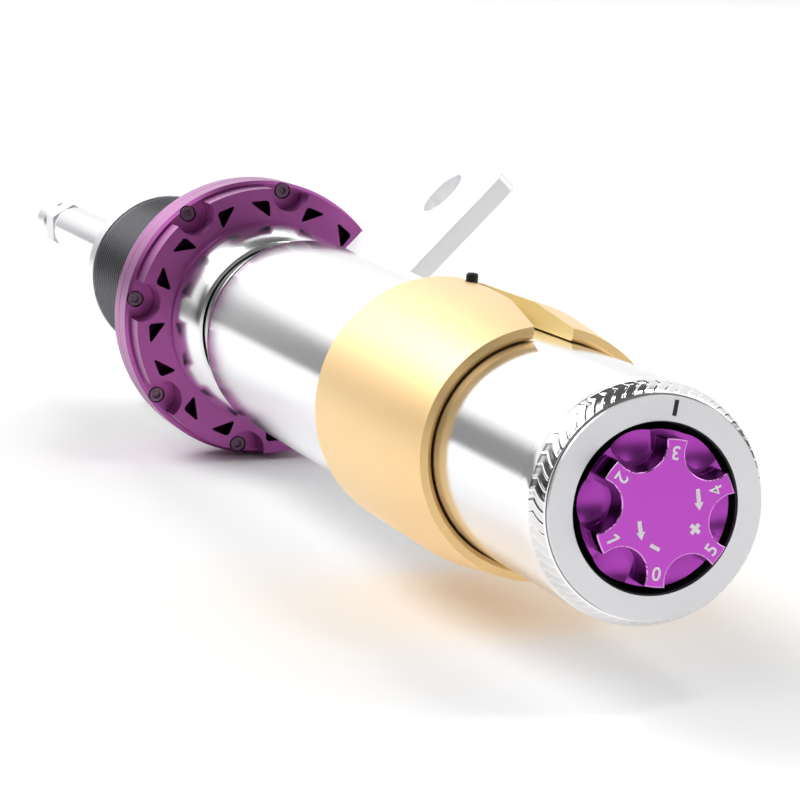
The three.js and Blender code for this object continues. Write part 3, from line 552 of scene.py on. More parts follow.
def swing(bm, distance, degrees):
    """Moves a shape out from the axis and turns it about the axis, from +X towards +Z."""
    bmesh.ops.translate(bm, verts=bm.verts, vec=(distance, 0, 0))
    bmesh.ops.rotate(bm, verts=bm.verts, matrix=Matrix.Rotation(-math.radians(degrees), 3, "Y"))
    return bm


print("cutters: round_bar, block and thicken, placed by swing")

# %% [markdown]
# ## Housing tube
# The tube is drawn stainless steel. Its lower end is a little thinner, the sleeve rests on the step,
# and the far end is swaged down to carry the thread. It is one profile, walked along the outside and
# back along the bore. The neck follows half a cosine wave, which leaves both cylinders smoothly.

# %% Housing tube
CLEARANCE = 0.3 * MM
TUBE_WALL = 1.9 * MM
RIM_LENGTH = 8 * MM
ROUND_PLUG = 2.2 * MM
SLEEVE_TO_STEP = 42.5 * MM
STEP_LENGTH = 0.5 * MM
MAIN_LENGTH = 128 * MM
SWAGE = 3.4 * MM
NECK_TO_RING = 2 * MM
NECK_STEPS = 16
plug_radius = radius("end_plug")
lower_radius = plug_radius + ROUND_PLUG
main_radius = radius("strut_tube")
upper_radius = main_radius - SWAGE
rim_low = start("strut_tube")
rim_end = rim_low + RIM_LENGTH
sleeve_low = start("clamp_sleeve")
step = sleeve_low + SLEEVE_TO_STEP
main_end = step + MAIN_LENGTH
neck_end = start("perch_stop_ring") - NECK_TO_RING


def neck(steps):
    share = [i / steps for i in range(steps + 1)]
    drop = main_radius - upper_radius
    return [(upper_radius + drop * (1 + math.cos(math.pi * t)) / 2,
             main_end + (neck_end - main_end) * t) for t in share]


outside = [(lower_radius, rim_end), (lower_radius, step - STEP_LENGTH), (main_radius, step),
           *neck(NECK_STEPS), (upper_radius, end("strut_tube"))]
inside = [(r - TUBE_WALL, y) for r, y in reversed(outside)]
keep(spun(outside + inside), "housing_tube", "strut", brushed_steel,
     ["strut_tube"], edge=0.15 * MM)

# %% [markdown]
# ## Rolled edge
# The tube's end is rolled over the plug, and the roller left a rope pattern: narrow ridges that leave
# the face straight, lean over more and more, and turn back near the top. A bump map would not show on
# the outline, so the ridges are real. The ring is spun with twelve steps for each tooth. Its outer skin
# is then pushed in along its normals between the ridges. The slant depends on how far round the roll
# a point lies: 0 degrees faces the viewer, 90 degrees lies on the tube.

# %% The plain roll
TEETH = 64
STEPS_A_TOOTH = 12
ROWS = 36
STRAIGHT_ROWS = 4
ROLL_LENGTH = 5.8 * MM
RIM_GAP = 0.1 * MM
rim_bore = plug_radius + RIM_GAP
lip_wall = lower_radius - rim_bore
roll_end = rim_low + ROLL_LENGTH
skin = [(rim_bore + lip_wall * math.cos(t), roll_end + ROLL_LENGTH * math.sin(t))
        for t in (math.radians(-90 + 90 * i / ROWS) for i in range(ROWS + 1))]
skin += [(lower_radius, roll_end + (RIM_LENGTH - ROLL_LENGTH) * i / STRAIGHT_ROWS)
         for i in range(1, STRAIGHT_ROWS + 1)]
bm = spun(skin + [(rim_bore, rim_end)], steps=TEETH * STEPS_A_TOOTH)
print("plain roll:", len(bm.verts), "vertices")

# %% Rope pattern on the roll
TOOTH_DEPTH = 0.14 * MM
RIDGE_WIDTH = 0.17
RIDGE_SHAPE = 0.8
LEAN = 1.03
LEAN_BACK = 0.013
TURN_BACK = 52
FADE_IN_FROM, FADE_IN_OVER = 8, 6
FADE_OUT_TO, FADE_OUT_OVER = 72, 8
BARELY = 0.01 * MM


def lean(round_roll):
    """How many teeth a ridge has leaned sideways at this angle round the roll."""
    if round_roll < TURN_BACK:
        return LEAN * (round_roll / TURN_BACK) ** 2
    return LEAN - LEAN_BACK * (round_roll - TURN_BACK)


def fade(round_roll):
    """1 where the pattern has its full depth, 0 at the face and on the tube."""
    from_face = max(0, round_roll - FADE_IN_FROM) / FADE_IN_OVER
    to_tube = max(0, FADE_OUT_TO - round_roll) / FADE_OUT_OVER
    return min(1, from_face, to_tube)


# how deep each point lies in a valley, which the knurl's painted shade reads
depth_layer = bm.verts.layers.float.new("valley")
bm.normal_update()
for vert in bm.verts:
    distance = math.hypot(vert.co.x, vert.co.z)
    if distance < rim_bore + BARELY or vert.co.y > rim_end - BARELY:
        continue
    along = 1 - (vert.co.y - rim_low) / ROLL_LENGTH
    round_roll = math.degrees(math.atan2((distance - rim_bore) / lip_wall, along))
    phase = (math.atan2(vert.co.z, vert.co.x) / (2 * math.pi) * TEETH + lean(round_roll)) % 1
    valley = min(1, min(phase, 1 - phase) / RIDGE_WIDTH) ** RIDGE_SHAPE * fade(round_roll)
    vert.co -= vert.normal * TOOTH_DEPTH * valley
    vert[depth_layer] = valley
keep(bm, "rolled_edge", "strut", knurled_steel, ["strut_tube"], sharp=60)

# %% [markdown]
# ## End plug
# The plug's face is the light grey ring round the wheel, with one short black mark to read the wheel
# by. The mark is a shallow slot filled with paint: a painted patch would lie on the face and catch the
# light at its edge. Behind the ring lies the cavity that the wheel turns in. Nearly no light comes
# back out of it, so a thin black sheet of painted shade covers its walls.

# %% Plug
MARK_ANGLE = 79
MARK_FROM, MARK_TO = 16.8 * MM, 19.7 * MM
MARK_WIDTH = 0.8 * MM
MARK_DEPTH = 0.4 * MM
WHEEL_GAP = 0.74 * MM
CAVITY_DEPTH = 6.3 * MM
HUB_BORE = 7.4 * MM
plug_end = end("end_plug")
cavity_radius = radius("bump_knob") + WHEEL_GAP
cavity_floor = face + CAVITY_DEPTH
mark_length = MARK_TO - MARK_FROM
mark_middle = (MARK_FROM + MARK_TO) / 2
mark_bottom = face + MARK_DEPTH
mark_cutter = swing(block(mark_length, face - MM, mark_bottom, MARK_WIDTH), mark_middle, MARK_ANGLE)
plug_profile = [(plug_radius, face), (plug_radius, plug_end), (HUB_BORE, plug_end),
                (HUB_BORE, cavity_floor), (cavity_radius, cavity_floor), (cavity_radius, face)]
keep(carve(spun(plug_profile), mark_cutter), "plug", "strut", face_aluminium,
     ["end_plug"], edge=0.12 * MM)

# %% Index mark's paint and the cavity's painted shade
PAINT_GAP = 0.1 * MM
SHADE_SHEET_WALL = 0.25 * MM
SHADE_SHEET_GAP = 0.02 * MM
SHADE_SHEET_START = 0.5 * MM
paint = block(mark_length - PAINT_GAP, face + MARK_DEPTH / 3, mark_bottom, MARK_WIDTH - PAINT_GAP)
keep(swing(paint, mark_middle, MARK_ANGLE), "index_mark", "strut", black_paint_and_shade)
# a thin black sheet of painted shade over the cavity's walls and floor
shade_sheet_radius, shade_sheet_floor = cavity_radius - SHADE_SHEET_GAP, cavity_floor - SHADE_SHEET_GAP
shade_sheet_inside, shade_sheet_top = cavity_radius - SHADE_SHEET_WALL, cavity_floor - SHADE_SHEET_WALL
shade_sheet = spun([(shade_sheet_radius, face + SHADE_SHEET_START), (shade_sheet_radius, shade_sheet_floor), (HUB_BORE + MM, shade_sheet_floor),
              (HUB_BORE + MM, shade_sheet_top), (shade_sheet_inside, shade_sheet_top), (shade_sheet_inside, face + SHADE_SHEET_START)])
keep(shade_sheet, "cavity_painted_shade", "strut", black_paint_and_shade)

# %% [markdown]
# ## Adjuster wheel
# The wheel is the most detailed piece: a star with six arms on a round base, milled from one bar. Six
# round cutters leave the scallops, and a ball-nosed cutter dishes the floor of each, so that it
# shades like a shallow bowl. The same cuts are made here, on a spun blank. The star and the base are
# cut by themselves and stand on each other, because each cut then stays simple. The scallops' walls
# are painted near black, as painted shade and reflection, and the star's bevel has a paler finish, a
# painted highlight.

# %% Star with six arms
ARMS = 6
ARM_ANGLE = 81
STAR_RADIUS = 13.35 * MM
STAR_DEPTH = 5.43 * MM
SCALLOP_RADIUS = 4.9 * MM
SCALLOP_CENTRE = 13.4 * MM
star_top = start("bump_knob")
base_top = star_top + STAR_DEPTH
scallop_angles = [ARM_ANGLE + 360 / ARMS * (i + 0.5) for i in range(ARMS)]
star = spun([(0, star_top), (STAR_RADIUS, star_top), (STAR_RADIUS, base_top), (0, base_top)])
cuts = [swing(round_bar(SCALLOP_RADIUS, star_top - MM, base_top + MM, 96), SCALLOP_CENTRE, a)
        for a in scallop_angles]
# the star's walls get painted shade, and its bevel a painted highlight
keep(carve(star, *cuts), "wheel_star", "bump_adjuster", wheel_anodised,
     ["bump_knob"], edge=0.26 * MM, walls=wheel_wall_painted_shade, edge_highlight=wheel_edge_highlight)

# %% Round base with its dished floors
DISH_RADIUS = 3.9 * MM
DISH_DEPTH = 0.8 * MM
RIM_CHAMFER = 0.8 * MM
BASE_DEPTH = 5.2 * MM
HUB_RADIUS = 6.9 * MM
wheel_radius = radius("bump_knob")
base_back = base_top + BASE_DEPTH
hub_end = end("bump_knob")
ball = (DISH_RADIUS ** 2 + DISH_DEPTH ** 2) / (2 * DISH_DEPTH)


def dish(angle):
    """The ball-nosed cutter, sunk by the dish's depth at one scallop."""
    bm = bmesh.new()
    bmesh.ops.create_uvsphere(bm, u_segments=72, v_segments=48, radius=ball)
    bmesh.ops.translate(bm, verts=bm.verts, vec=(0, base_top + DISH_DEPTH - ball, 0))
    return swing(bm, SCALLOP_CENTRE, angle)


base = spun([(0, base_top), (wheel_radius - RIM_CHAMFER, base_top),
             (wheel_radius, base_top + 2 * RIM_CHAMFER), (wheel_radius, base_back),
             (HUB_RADIUS, base_back), (HUB_RADIUS, hub_end), (0, hub_end)])
# the base's walls get the same painted shade
keep(carve(base, *[dish(a) for a in scallop_angles]), "wheel_base", "bump_adjuster",
     wheel_floor, ["bump_knob"], edge=0.12 * MM, walls=wheel_wall_painted_shade)

# %% [markdown]
# ## Print on the wheel
# The settings 0 to 5 are printed one on each arm, with their tops towards the middle. Digits start as
# text objects, because a font draws them better than a hand would. Only the 1 is drawn, as this font
# gives it a foot. A text lies in the XY plane, so it is turned into a mesh first, stood up to face the
# viewer, and then swung to its arm.

# %% Flat shapes and text as a mesh
PRINT = 0.03 * MM
CAPITAL_SHARE = 0.72
STROKE_GROWTH = 0.05 * MM
SMALL_GROWTH = 0.02 * MM
GLYPH_JOIN = 0.001 * MM


def upright(bm, place, angle, spin):
    """Stands a flat shape up to face -Y at a place round the wheel, turned by spin degrees there."""
    bmesh.ops.rotate(bm, verts=bm.verts, matrix=Matrix.Rotation(math.radians(spin), 3, "Z"))
    bmesh.ops.rotate(bm, verts=bm.verts, matrix=Matrix.Rotation(math.pi / 2, 3, "X"))
    across, up = place * math.cos(math.radians(angle)), place * math.sin(math.radians(angle))
    bmesh.ops.translate(bm, verts=bm.verts, vec=(across, star_top, up))
    return bm


def flat(points):
    """A thin flat shape in the XY plane from its outline in millimetres."""
    return thicken([(x * MM, y * MM, PRINT) for x, y in points], (0, 0, -2 * PRINT))


def glyph(text, height):
    """A digit as a mesh, centred; the 4 grows less, or its small eye would close."""
    data = bpy.data.curves.new("digit", "FONT")
    data.body = text
    data.align_x = "CENTER"
    data.align_y = "CENTER"
    data.size = height / CAPITAL_SHARE
    data.extrude = PRINT
    data.offset = SMALL_GROWTH if text == "4" else STROKE_GROWTH
    holder = bpy.data.objects.new("digit", data)
    bpy.context.scene.collection.objects.link(holder)
    bpy.context.view_layer.update()
    evaluated = holder.evaluated_get(bpy.context.evaluated_depsgraph_get())
    bm = bmesh.new()
    bm.from_mesh(evaluated.to_mesh())
    evaluated.to_mesh_clear()
    bpy.data.objects.remove(holder)
    bpy.data.curves.remove(data)
    low = Vector([min(v.co[i] for v in bm.verts) for i in range(3)])
    high = Vector([max(v.co[i] for v in bm.verts) for i in range(3)])
    bmesh.ops.translate(bm, verts=bm.verts, vec=-(low + high) / 2)
    bmesh.ops.remove_doubles(bm, verts=bm.verts, dist=GLYPH_JOIN)
    return bm


def all_of(shapes):
    """Several shapes that don't touch, as one."""
    joined = bmesh.new()
    for shape in shapes:
        mesh = bpy.data.meshes.new("part")
        shape.to_mesh(mesh)
        shape.free()
        joined.from_mesh(mesh)
        bpy.data.meshes.remove(mesh)
    return joined


print(f"the print stands {PRINT / MM:.2f} mm above the star")

# %% Digits
# a digit, the angle of its arm and how far from the axis it stands, in millimetres
DIGITS = [("3", 81, 10.85), ("4", 21, 10.1), ("5", -39, 11.1), ("0", -99, 10.85), ("2", 141, 10.85)]
DIGIT_HEIGHT = 2.5 * MM
ONE_ANGLE, ONE_PLACE = -159, 10.7
ONE = [(0.1, -1.25), (0.55, -1.25), (0.55, 1.25), (0.2, 1.25), (-0.6, 0.75), (-0.6, 0.3), (0.1, 0.7)]
digits = [upright(glyph(text, DIGIT_HEIGHT), place * MM, angle, angle + 90)
          for text, angle, place in DIGITS]
digits.append(upright(flat(ONE), ONE_PLACE * MM, ONE_ANGLE, ONE_ANGLE + 90))
keep(all_of(digits), "wheel_digits", "bump_adjuster", white_print, sharp=30)

# %% [markdown]
# Two arrows with a plus and a minus say which way is firmer. They are drawn as outlines, with three
# small functions, because no font has an arrow with this swallow-tailed head.

# %% Arrows, plus and minus
SHAFT, HEAD, HEAD_LENGTH = 0.38, 0.85, 1.45


def strip(length, width):
    return flat([(-length / 2, -width / 2), (length / 2, -width / 2),
                 (length / 2, width / 2), (-length / 2, width / 2)])


def cross(length, width):
    a, b = length / 2, width / 2
    return flat([(a, -b), (a, b), (b, b), (b, a), (-b, a), (-b, b),
                 (-a, b), (-a, -b), (-b, -b), (-b, -a), (b, -a), (b, -b)])


def arrow(length):
    """An arrow that points along -Y."""
    tip, tail = -length / 2, length / 2
    barb = tip + HEAD_LENGTH
    return flat([(-SHAFT, tail), (-SHAFT, barb), (-HEAD, barb), (0, tip), (HEAD, barb),
                 (SHAFT, barb), (SHAFT, tail)])


# a shape, how far from the axis it stands in millimetres, the angle there and its own turn
SIGNS = [(arrow(3.5), 5.55, -150, 8), (arrow(3.9), 6.5, 19, 6),
         (strip(2.0, 0.7), 6.3, -109, -30), (cross(2.2, 0.75), 6.35, -29, 48)]
signs = [upright(shape, place * MM, angle, spin) for shape, place, angle, spin in SIGNS]
keep(all_of(signs), "wheel_signs", "bump_adjuster", white_print, sharp=30)

# %% [markdown]
# ## Clamp sleeve
# The gold sleeve fills the wheel carrier's bore. It is turned with a long cone at its mouth and a
# step inside, and then slotted, so that the carrier can pinch it. The slot is a wedge that runs out
# in a narrow slit, with a round hole for the pin. Both are taken away from the spun ring. The slot is
# milled, and its walls get a paler gold than the turned skin: painted light that brightens them.

# %% Sleeve's profile and slot
MOUTH_GAP = 1.2 * MM
LIP_WIDTH = 1.6 * MM
CONE_LENGTH = 22.5 * MM
INNER_STEP = 42.2 * MM
RECESS = 0.9 * MM
SLOT_ANGLE = 84.75
SLOT_MOUTH = 8.2 * MM
SLOT_LENGTH = 48 * MM
SLOT_SIDE = 3.85 * MM
SLIT_WIDTH = 1.7 * MM
CUT_BEYOND = 3 * MM
sleeve_radius = radius("clamp_sleeve")
sleeve_end = end("clamp_sleeve")
slot_reach = sleeve_radius + CUT_BEYOND
mouth = lower_radius + MOUTH_GAP
main_bore, lower_bore = main_radius + CLEARANCE, lower_radius + CLEARANCE
inner_step = sleeve_low + INNER_STEP
sleeve_profile = [(mouth, sleeve_low), (mouth + LIP_WIDTH, sleeve_low),
                  (sleeve_radius, sleeve_low + CONE_LENGTH), (sleeve_radius, sleeve_end),
                  (main_bore, sleeve_end), (main_bore, inner_step), (lower_bore, inner_step),
                  (lower_bore, sleeve_low + RECESS)]
slit_y = sleeve_low + SLOT_LENGTH
slit_side, mouth_side = SLIT_WIDTH - SLOT_SIDE, SLOT_MOUTH - SLOT_SIDE
wedge = [(-SLOT_SIDE, sleeve_low - MM), (-SLOT_SIDE, sleeve_end + MM), (slit_side, sleeve_end + MM),
         (slit_side, slit_y), (mouth_side, sleeve_low), (mouth_side, sleeve_low - MM)]
slot_cutter = swing(thicken([(lower_radius, y, z) for z, y in wedge], (slot_reach - lower_radius, 0, 0)),
                    0, SLOT_ANGLE)
print(f"the slot is {SLOT_MOUTH / MM:.1f} mm wide at its mouth and {SLIT_WIDTH / MM:.1f} mm at its end")

# %% Sleeve
PIN_RADIUS = 1.3 * MM
MILLED_LEAN = 0.9
slot_turn = math.radians(SLOT_ANGLE)
across_slot = Vector((-math.sin(slot_turn), 0, math.cos(slot_turn)))
pin_low, pin_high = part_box("locating_pin")
pin_middle = (pin_low + pin_high) / 2
pin_across = pin_middle.dot(across_slot)


def round_pin(size, x0, x1, sides=48):
    """A round bar along X, away from the axis, as far beside the slot's plane as the pin stands."""
    bm = round_bar(size, x0, x1, sides)
    bmesh.ops.rotate(bm, verts=bm.verts, matrix=Matrix.Rotation(-math.pi / 2, 3, "Z"))
    bmesh.ops.translate(bm, verts=bm.verts, vec=(0, pin_middle.y, pin_across))
    return bm


hole = swing(round_pin(PIN_RADIUS + CLEARANCE, lower_radius, slot_reach), 0, SLOT_ANGLE)
sleeve = keep(carve(spun(sleeve_profile), slot_cutter, hole), "gold_sleeve", "strut",
              gold_anodised, ["clamp_sleeve"], edge=0.3 * MM)
# the slot's walls get the paler gold, painted light
sleeve.data.materials.append(gold_slot_painted_light)
for polygon in sleeve.data.polygons:
    in_slot = polygon.center.z > lower_radius / 2 and abs(polygon.center.dot(across_slot)) < SLOT_MOUTH
    polygon.material_index = int(in_slot and abs(polygon.normal.dot(across_slot)) > MILLED_LEAN)

# %% [markdown]
# A small black pin stands in the slit. It sets the strut's angle in the carrier. It is a plain bar with
# a rounded head, so a bevel of its two ends is all that it needs.

# %% Locating pin
PIN_HEIGHT = 4.6 * MM
PIN_ROUND = 0.6 * MM
pin_foot = main_radius + CLEARANCE
bm = round_pin(PIN_RADIUS, pin_foot, pin_foot + PIN_HEIGHT)
rims = [e for e in bm.edges if abs(e.verts[0].co.x - e.verts[1].co.x) < PIN_ROUND]
bmesh.ops.bevel(bm, geom=rims, offset=PIN_ROUND, offset_type="OFFSET", segments=5, profile=0.5,
                affect="EDGES", material=-1)
keep(swing(bm, 0, SLOT_ANGLE), "pin", "strut", black_steel, ["locating_pin"])

# %% [markdown]
# ## Link bracket
# The bracket is a plate on edge, welded to the tube, with an eye for the drop link. Its outline is
# drawn flat, with the distance along the strut on Y and the height on X, then thickened by an
# extrusion, and the eye is cut. The whole is swung to its angle about the strut.

# %% Bracket's outline
EYE_METAL = 10 * MM
EYE_FROM_FRONT = 25.5 * MM
EYE_ABOVE_TUBE = 24.7 * MM
TIP_ABOVE_TUBE = 34.7 * MM
TIP_ROUND = 2.6 * MM
HEEL = 7.5 * MM
front, back = start("link_bracket"), end("link_bracket")
foot_height = main_radius + CLEARANCE
heel_height = foot_height + HEEL
tip_height = main_radius + TIP_ABOVE_TUBE
eye_height = main_radius + EYE_ABOVE_TUBE
eye_y = front + EYE_FROM_FRONT


def arc(centre, size, first, last, steps):
    """Points (radius, y) on an arc, for angles in degrees from the radius towards +Y."""
    turns = [math.radians(first + (last - first) * i / steps) for i in range(steps + 1)]
    return [(centre[0] + size * math.cos(t), centre[1] + size * math.sin(t)) for t in turns]


def bezier(a, b, c, d, steps):
    """Points of a cubic curve after its first point."""
    weights = [i / steps for i in range(1, steps + 1)]
    return [tuple((1 - t) ** 3 * p + 3 * t * (1 - t) ** 2 * q + 3 * t ** 2 * (1 - t) * r + t ** 3 * s
                  for p, q, r, s in zip(a, b, c, d)) for t in weights]


plate_outline = [(foot_height, front), (foot_height, back), (heel_height, back)]
plate_outline += bezier((heel_height, back), (heel_height, back - EYE_METAL),
                        (heel_height + EYE_METAL, eye_y + EYE_METAL), (eye_height, eye_y + EYE_METAL), 20)
plate_outline += arc((eye_height, eye_y), EYE_METAL, 90, 0, 20)[1:]
plate_outline += arc((tip_height - TIP_ROUND, front + TIP_ROUND), TIP_ROUND, 0, -90, 8)
print("bracket:", len(plate_outline), "points in its outline")

# %% Link bracket
BRACKET_ANGLE = 44
PLATE_THICKNESS = 5 * MM
EYE_BORE = 6.1 * MM
plate = thicken([(x, y, -PLATE_THICKNESS / 2) for x, y in plate_outline], (0, 0, PLATE_THICKNESS))
eye = bmesh.new()
bmesh.ops.create_cone(eye, cap_ends=True, segments=72, radius1=EYE_BORE, radius2=EYE_BORE,
                      depth=4 * PLATE_THICKNESS)
bmesh.ops.translate(eye, verts=eye.verts, vec=(eye_height, eye_y, 0))
keep(swing(carve(plate, eye), 0, BRACKET_ANGLE), "bracket", "strut", pale_zinc,
     ["link_bracket"], edge=0.45 * MM)

# %% [markdown]
# ## Stop ring and thread
# A bright ring pressed on the neck stops the perch. Its nose is rounded, which gives one thick
# highlight where a plain cone would give a flat glare.

# %% Stop ring
NOSE_LIP = 0.7 * MM
NOSE_LENGTH = 11 * MM
RING_CHAMFER = 0.6 * MM
ring_low, ring_end = start("perch_stop_ring"), end("perch_stop_ring")
ring_radius = radius("perch_stop_ring")
upper_bore = upper_radius + CLEARANCE
lip_radius = upper_bore + NOSE_LIP


def rounded_nose(steps):
    """Rises from the lip to the full radius, half as a straight cone and half as a quarter ellipse."""
    turns = [math.radians(90 * i / steps) for i in range(steps + 1)]
    return [(lip_radius + (ring_radius - lip_radius) * (1 - math.cos(t) + math.sin(t)) / 2,
             ring_low + NOSE_LENGTH * (1 - math.cos(t))) for t in turns]


ring_profile = [(upper_bore, ring_low), *rounded_nose(20), (ring_radius, ring_end - RING_CHAMFER),
                (ring_radius - RING_CHAMFER, ring_end), (upper_bore, ring_end)]
keep(spun(ring_profile), "stop_ring", "strut", polished_steel, ["perch_stop_ring"],
     edge=0.1 * MM)

# %% [markdown]
# Behind the ring a dark sleeve carries the thread. Rings side by side would look much the same, but the
# thread is a real helix: `bmesh.ops.spin` takes a step along the axis with every turn, so one tooth of
# the profile, spun with a rise of one pitch for each turn, makes all the turns at once. A plain core
# under the teeth closes the sleeve and ends it in two collars.

# %% Thread
PITCH = 2.5 * MM
THREAD_DEPTH = 0.75 * MM
STEPS_A_TURN = 72
# height in the tooth and way along the pitch, both from 0 to 1
TOOTH = [(0, 0), (0, 0.16), (1, 0.44), (1, 0.6), (0, 0.88), (0, 1)]
thread_low, thread_end = start("thread_sleeve"), end("thread_sleeve")
thread_radius = radius("thread_sleeve")
root = thread_radius - THREAD_DEPTH
turns = int((thread_end - thread_low) / PITCH) - 1
bm = bmesh.new()
verts = [bm.verts.new((root + THREAD_DEPTH * height, thread_low + PITCH * (0.5 + share), 0))
         for height, share in TOOTH]
edges = [bm.edges.new(pair) for pair in zip(verts, verts[1:])]
bmesh.ops.spin(bm, geom=verts + edges, axis=AXIS, cent=(0, 0, 0), steps=turns * STEPS_A_TURN,
               angle=2 * math.pi * turns, dvec=(0, PITCH / STEPS_A_TURN, 0))
clean(bm)
keep(bm, "thread", "strut", thread_anodised, ["thread_sleeve"], sharp=25)
print("thread:", turns, "turns")

# %% Core under the thread
CORE_GAP = 0.02 * MM
LOW_COLLAR, HIGH_COLLAR = 0.2 * MM, 0.1 * MM
under_root = root - CORE_GAP
low_collar, high_collar = thread_radius - LOW_COLLAR, thread_radius - HIGH_COLLAR
core = [(upper_bore, thread_low), (low_collar, thread_low), (low_collar, thread_low + PITCH * 0.5),
        (under_root, thread_low + PITCH * 0.9), (under_root, thread_end - PITCH),
        (high_collar, thread_end - PITCH * 0.7), (high_collar, thread_end), (upper_bore, thread_end)]
keep(spun(core), "thread_core", "strut", thread_anodised, ["thread_sleeve"], edge=0.1 * MM)

# %% [markdown]
# ## Spring perch
# Two purple halves and a lock ring. The lock ring has eight lobes: between them a spanner takes the
# round scallops, and each lobe has two small three-cornered pockets that save weight. Scallops and
# pockets are cut from a spun ring, one after another, as the mill does it.

# %% Cutter for one pocket
LOBES = 8
LOBE_ANGLE = 11.8
RING_WIDTH = 11.3 * MM
POCKET_WIDTH, POCKET_HEIGHT, POCKET_ROUND = 5.2 * MM, 4.6 * MM, 1.0 * MM
POCKET_DEPTH = 6 * MM
POCKET_CENTRE = 5.9 * MM
POCKET_ANGLE = 8.3
lock_low, lock_end = start("adjusting_ring"), end("adjusting_ring")
bore = thread_radius + CLEARANCE
outer = bore + RING_WIDTH
pocket_centre = bore + POCKET_CENTRE
lobe_angles = [LOBE_ANGLE + 360 / LOBES * i for i in range(LOBES)]
gap_angles = [angle + 180 / LOBES for angle in lobe_angles]
pocket_sides = [(angle + side * POCKET_ANGLE, side) for angle in lobe_angles for side in (-1, 1)]


def pocket(angle, side):
    """A prism with rounded corners, narrow towards the middle of its lobe."""
    w, h = side * POCKET_WIDTH / 2, POCKET_HEIGHT / 2
    corners = [(x, lock_low - MM, z) for x, z in ((-h, w), (h, -w), (h, w))]
    bm = thicken(corners, (0, POCKET_DEPTH + MM, 0))
    uprights = [e for e in bm.edges if abs(e.verts[0].co.y - e.verts[1].co.y) > MM]
    bmesh.ops.bevel(bm, geom=uprights, offset=POCKET_ROUND, offset_type="OFFSET", segments=5,
                    profile=0.5, affect="EDGES", material=-1)
    return swing(bm, pocket_centre, angle)


print(LOBES, "lobes and", len(pocket_sides), "pockets")

# %% Lobed lock ring
SPANNER_ROUND = 5 * MM
SPANNER_CENTRE = 10.7 * MM
POCKET_REACH = 3.7 * MM
FACE_SKIN, FLOOR_SKIN = 0.3 * MM, 0.5 * MM
blank = spun([(bore, lock_low), (outer, lock_low), (outer, lock_end), (bore, lock_end)])
cuts = [swing(round_bar(SPANNER_ROUND, lock_low - MM, lock_end + MM, 72), bore + SPANNER_CENTRE, a)
        for a in gap_angles]
cuts += [pocket(angle, side) for angle, side in pocket_sides]
lobes = keep(carve(blank, *cuts), "lock_ring_lobes", "lock_ring", purple_anodised,
             ["adjusting_ring"], edge=0.3 * MM)
# the pockets' walls and floors get pocket_shade: painted shade
lobes.data.materials.append(pocket_shade)
pocket_places = [(pocket_centre * math.cos(t), pocket_centre * math.sin(t))
                 for t in (math.radians(angle) for angle, side in pocket_sides)]
for polygon in lobes.data.polygons:
    x, y, z = polygon.center
    nearest = min(math.hypot(x - px, z - pz) for px, pz in pocket_places)
    inside_ring = lock_low + FACE_SKIN < y < lock_low + POCKET_DEPTH + FLOOR_SKIN
    polygon.material_index = int(nearest < POCKET_REACH and inside_ring)

# %% [markdown]
# The two halves behind the lock ring are plain turned pieces: the seat that the screws hold, and the
# locator that centres the spring. Only the seat is cut, with a sink for each screw head.

# %% Perch halves
CHAMFER = 0.8 * MM
BOSS_CHAMFER = 2 * MM
BOSS_WALL = 6.7 * MM
FLANGE_DEPTH = 6.2 * MM
SCREW_FROM_BORE = 10.5 * MM
SCREW_HEAD = 1.85 * MM
SINK_DEPTH = 1.9 * MM
seat_low, seat_end = start("spring_seat"), end("spring_seat")
locator_low, locator_end = start("spring_locator"), end("spring_locator")
flange = radius("spring_seat")
flange_end = locator_low + FLANGE_DEPTH
boss = bore + BOSS_WALL
screw_centre = bore + SCREW_FROM_BORE
seat_blank = spun([(bore, seat_low), (flange - CHAMFER, seat_low), (flange, seat_low + CHAMFER),
                   (flange, seat_end), (bore, seat_end)])
sinks = [swing(round_bar(SCREW_HEAD + CLEARANCE, seat_low - MM, seat_low + SINK_DEPTH, 40),
               screw_centre, a) for a in gap_angles]
keep(carve(seat_blank, *sinks), "perch_seat", "perch", purple_anodised,
     ["spring_seat"], edge=0.25 * MM)
locator = spun([(bore, locator_low), (flange, locator_low), (flange, flange_end - CHAMFER),
                (flange - CHAMFER, flange_end), (boss, flange_end), (boss, locator_end - BOSS_CHAMFER),
                (boss - BOSS_CHAMFER, locator_end), (bore, locator_end)])
keep(locator, "perch_locator", "perch", purple_anodised, ["spring_locator"],
     edge=0.25 * MM)

# %% [markdown]
# Eight small socket screws hold the perch together. One is made and swung to each place in turn: a
# copy by a modifier would be one piece, and each screw is a piece of its own.

# %% Perch screws
HEAD_HEIGHT = 1.6 * MM
SOCKET = 0.95 * MM
SOCKET_DEPTH = 0.9 * MM
head_back = seat_low + HEAD_HEIGHT
for i, angle in enumerate(gap_angles, 1):
    head = spun([(0, seat_low), (SCREW_HEAD, seat_low), (SCREW_HEAD, head_back), (0, head_back)], steps=48)
    socket = round_bar(SOCKET, seat_low - MM, seat_low + SOCKET_DEPTH, 6)
    keep(swing(carve(head, socket), screw_centre, angle), f"perch_screw_{i}", "perch",
         dark_screw, [f"seat_screw_{i}"], edge=0.15 * MM)

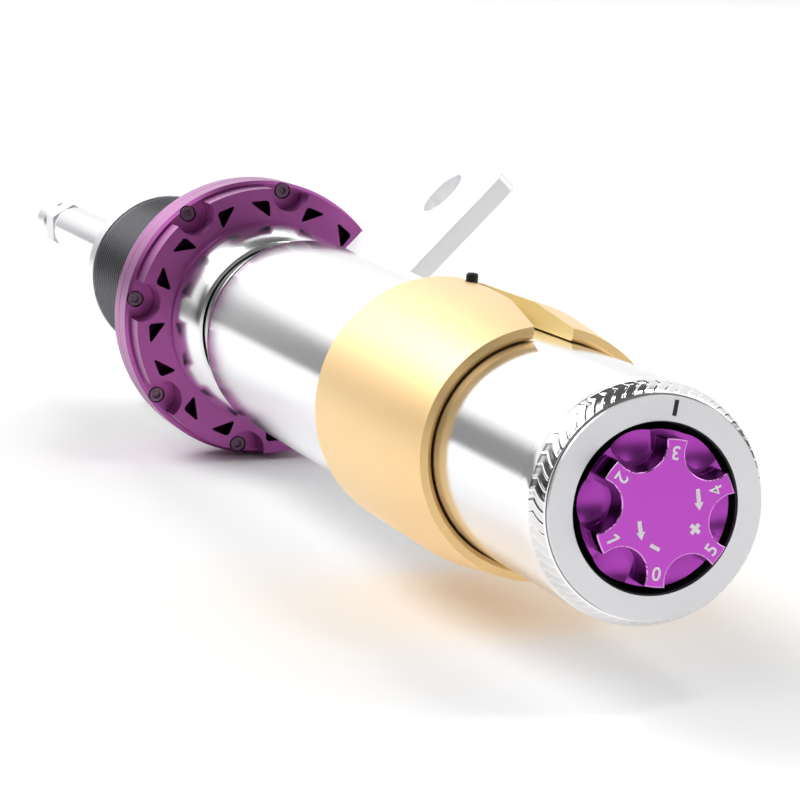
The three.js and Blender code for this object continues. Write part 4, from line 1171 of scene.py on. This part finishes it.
# %% [markdown]
# ## Rod end
# The cap screws over the tube and holds the seal. The chromed rod comes out through a rubber wiper,
# whose seat is a step in the cap. All of it is turned, so three profiles make it.

# %% Cap
ROD_RADIUS = 7.5 * MM
WIPER_WALL = 3.2 * MM
CAP_FLOOR = 2 * MM
cap_low, cap_end = start("end_cap"), end("end_cap")
cap_radius = radius("end_cap")
wiper_seat = ROD_RADIUS + WIPER_WALL
seat_floor = cap_low + CAP_FLOOR
cap_profile = [(upper_bore, cap_low), (cap_radius, cap_low), (cap_radius, cap_end - CHAMFER),
               (cap_radius - CHAMFER, cap_end), (wiper_seat - MM, cap_end), (wiper_seat - MM, cap_end - MM),
               (wiper_seat, cap_end - MM), (wiper_seat, seat_floor), (upper_bore, seat_floor)]
keep(spun(cap_profile), "cap", "strut", silver_anodised, ["end_cap"], edge=0.2 * MM)

# %% Rod
STUD_RADIUS = 5 * MM
STUD_CHAMFER = 0.6 * MM
rod_low, stud_end = start("top_out_bumper"), end("piston_rod")
shoulder = start("top_washer") - CLEARANCE
rod = spun([(0, rod_low), (ROD_RADIUS, rod_low), (ROD_RADIUS, shoulder - CHAMFER),
            (ROD_RADIUS - CHAMFER, shoulder), (STUD_RADIUS, shoulder),
            (STUD_RADIUS, stud_end - STUD_CHAMFER), (STUD_RADIUS - STUD_CHAMFER, stud_end), (0, stud_end)])
keep(rod, "rod", "rod", rod_chrome, ["piston_rod"], edge=0.1 * MM)

# %% [markdown]
# At the rod's end stands the rebound knob with its domed tip. The dome is a quarter arc in the
# profile, so it is as round as the rest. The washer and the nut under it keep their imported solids.

# %% Rebound knob
knob_low, knob_end = start("rebound_knob"), end("rebound_knob")
knob_radius = radius("rebound_knob")
knob = spun([(0, knob_low), (knob_radius - CHAMFER, knob_low), (knob_radius, knob_low + CHAMFER),
             *arc((0, knob_end - knob_radius), knob_radius, 0, 90, 24)])
keep(knob, "rebound_cap", "rebound_adjuster", silver_anodised, ["rebound_knob"],
     edge=0.15 * MM)
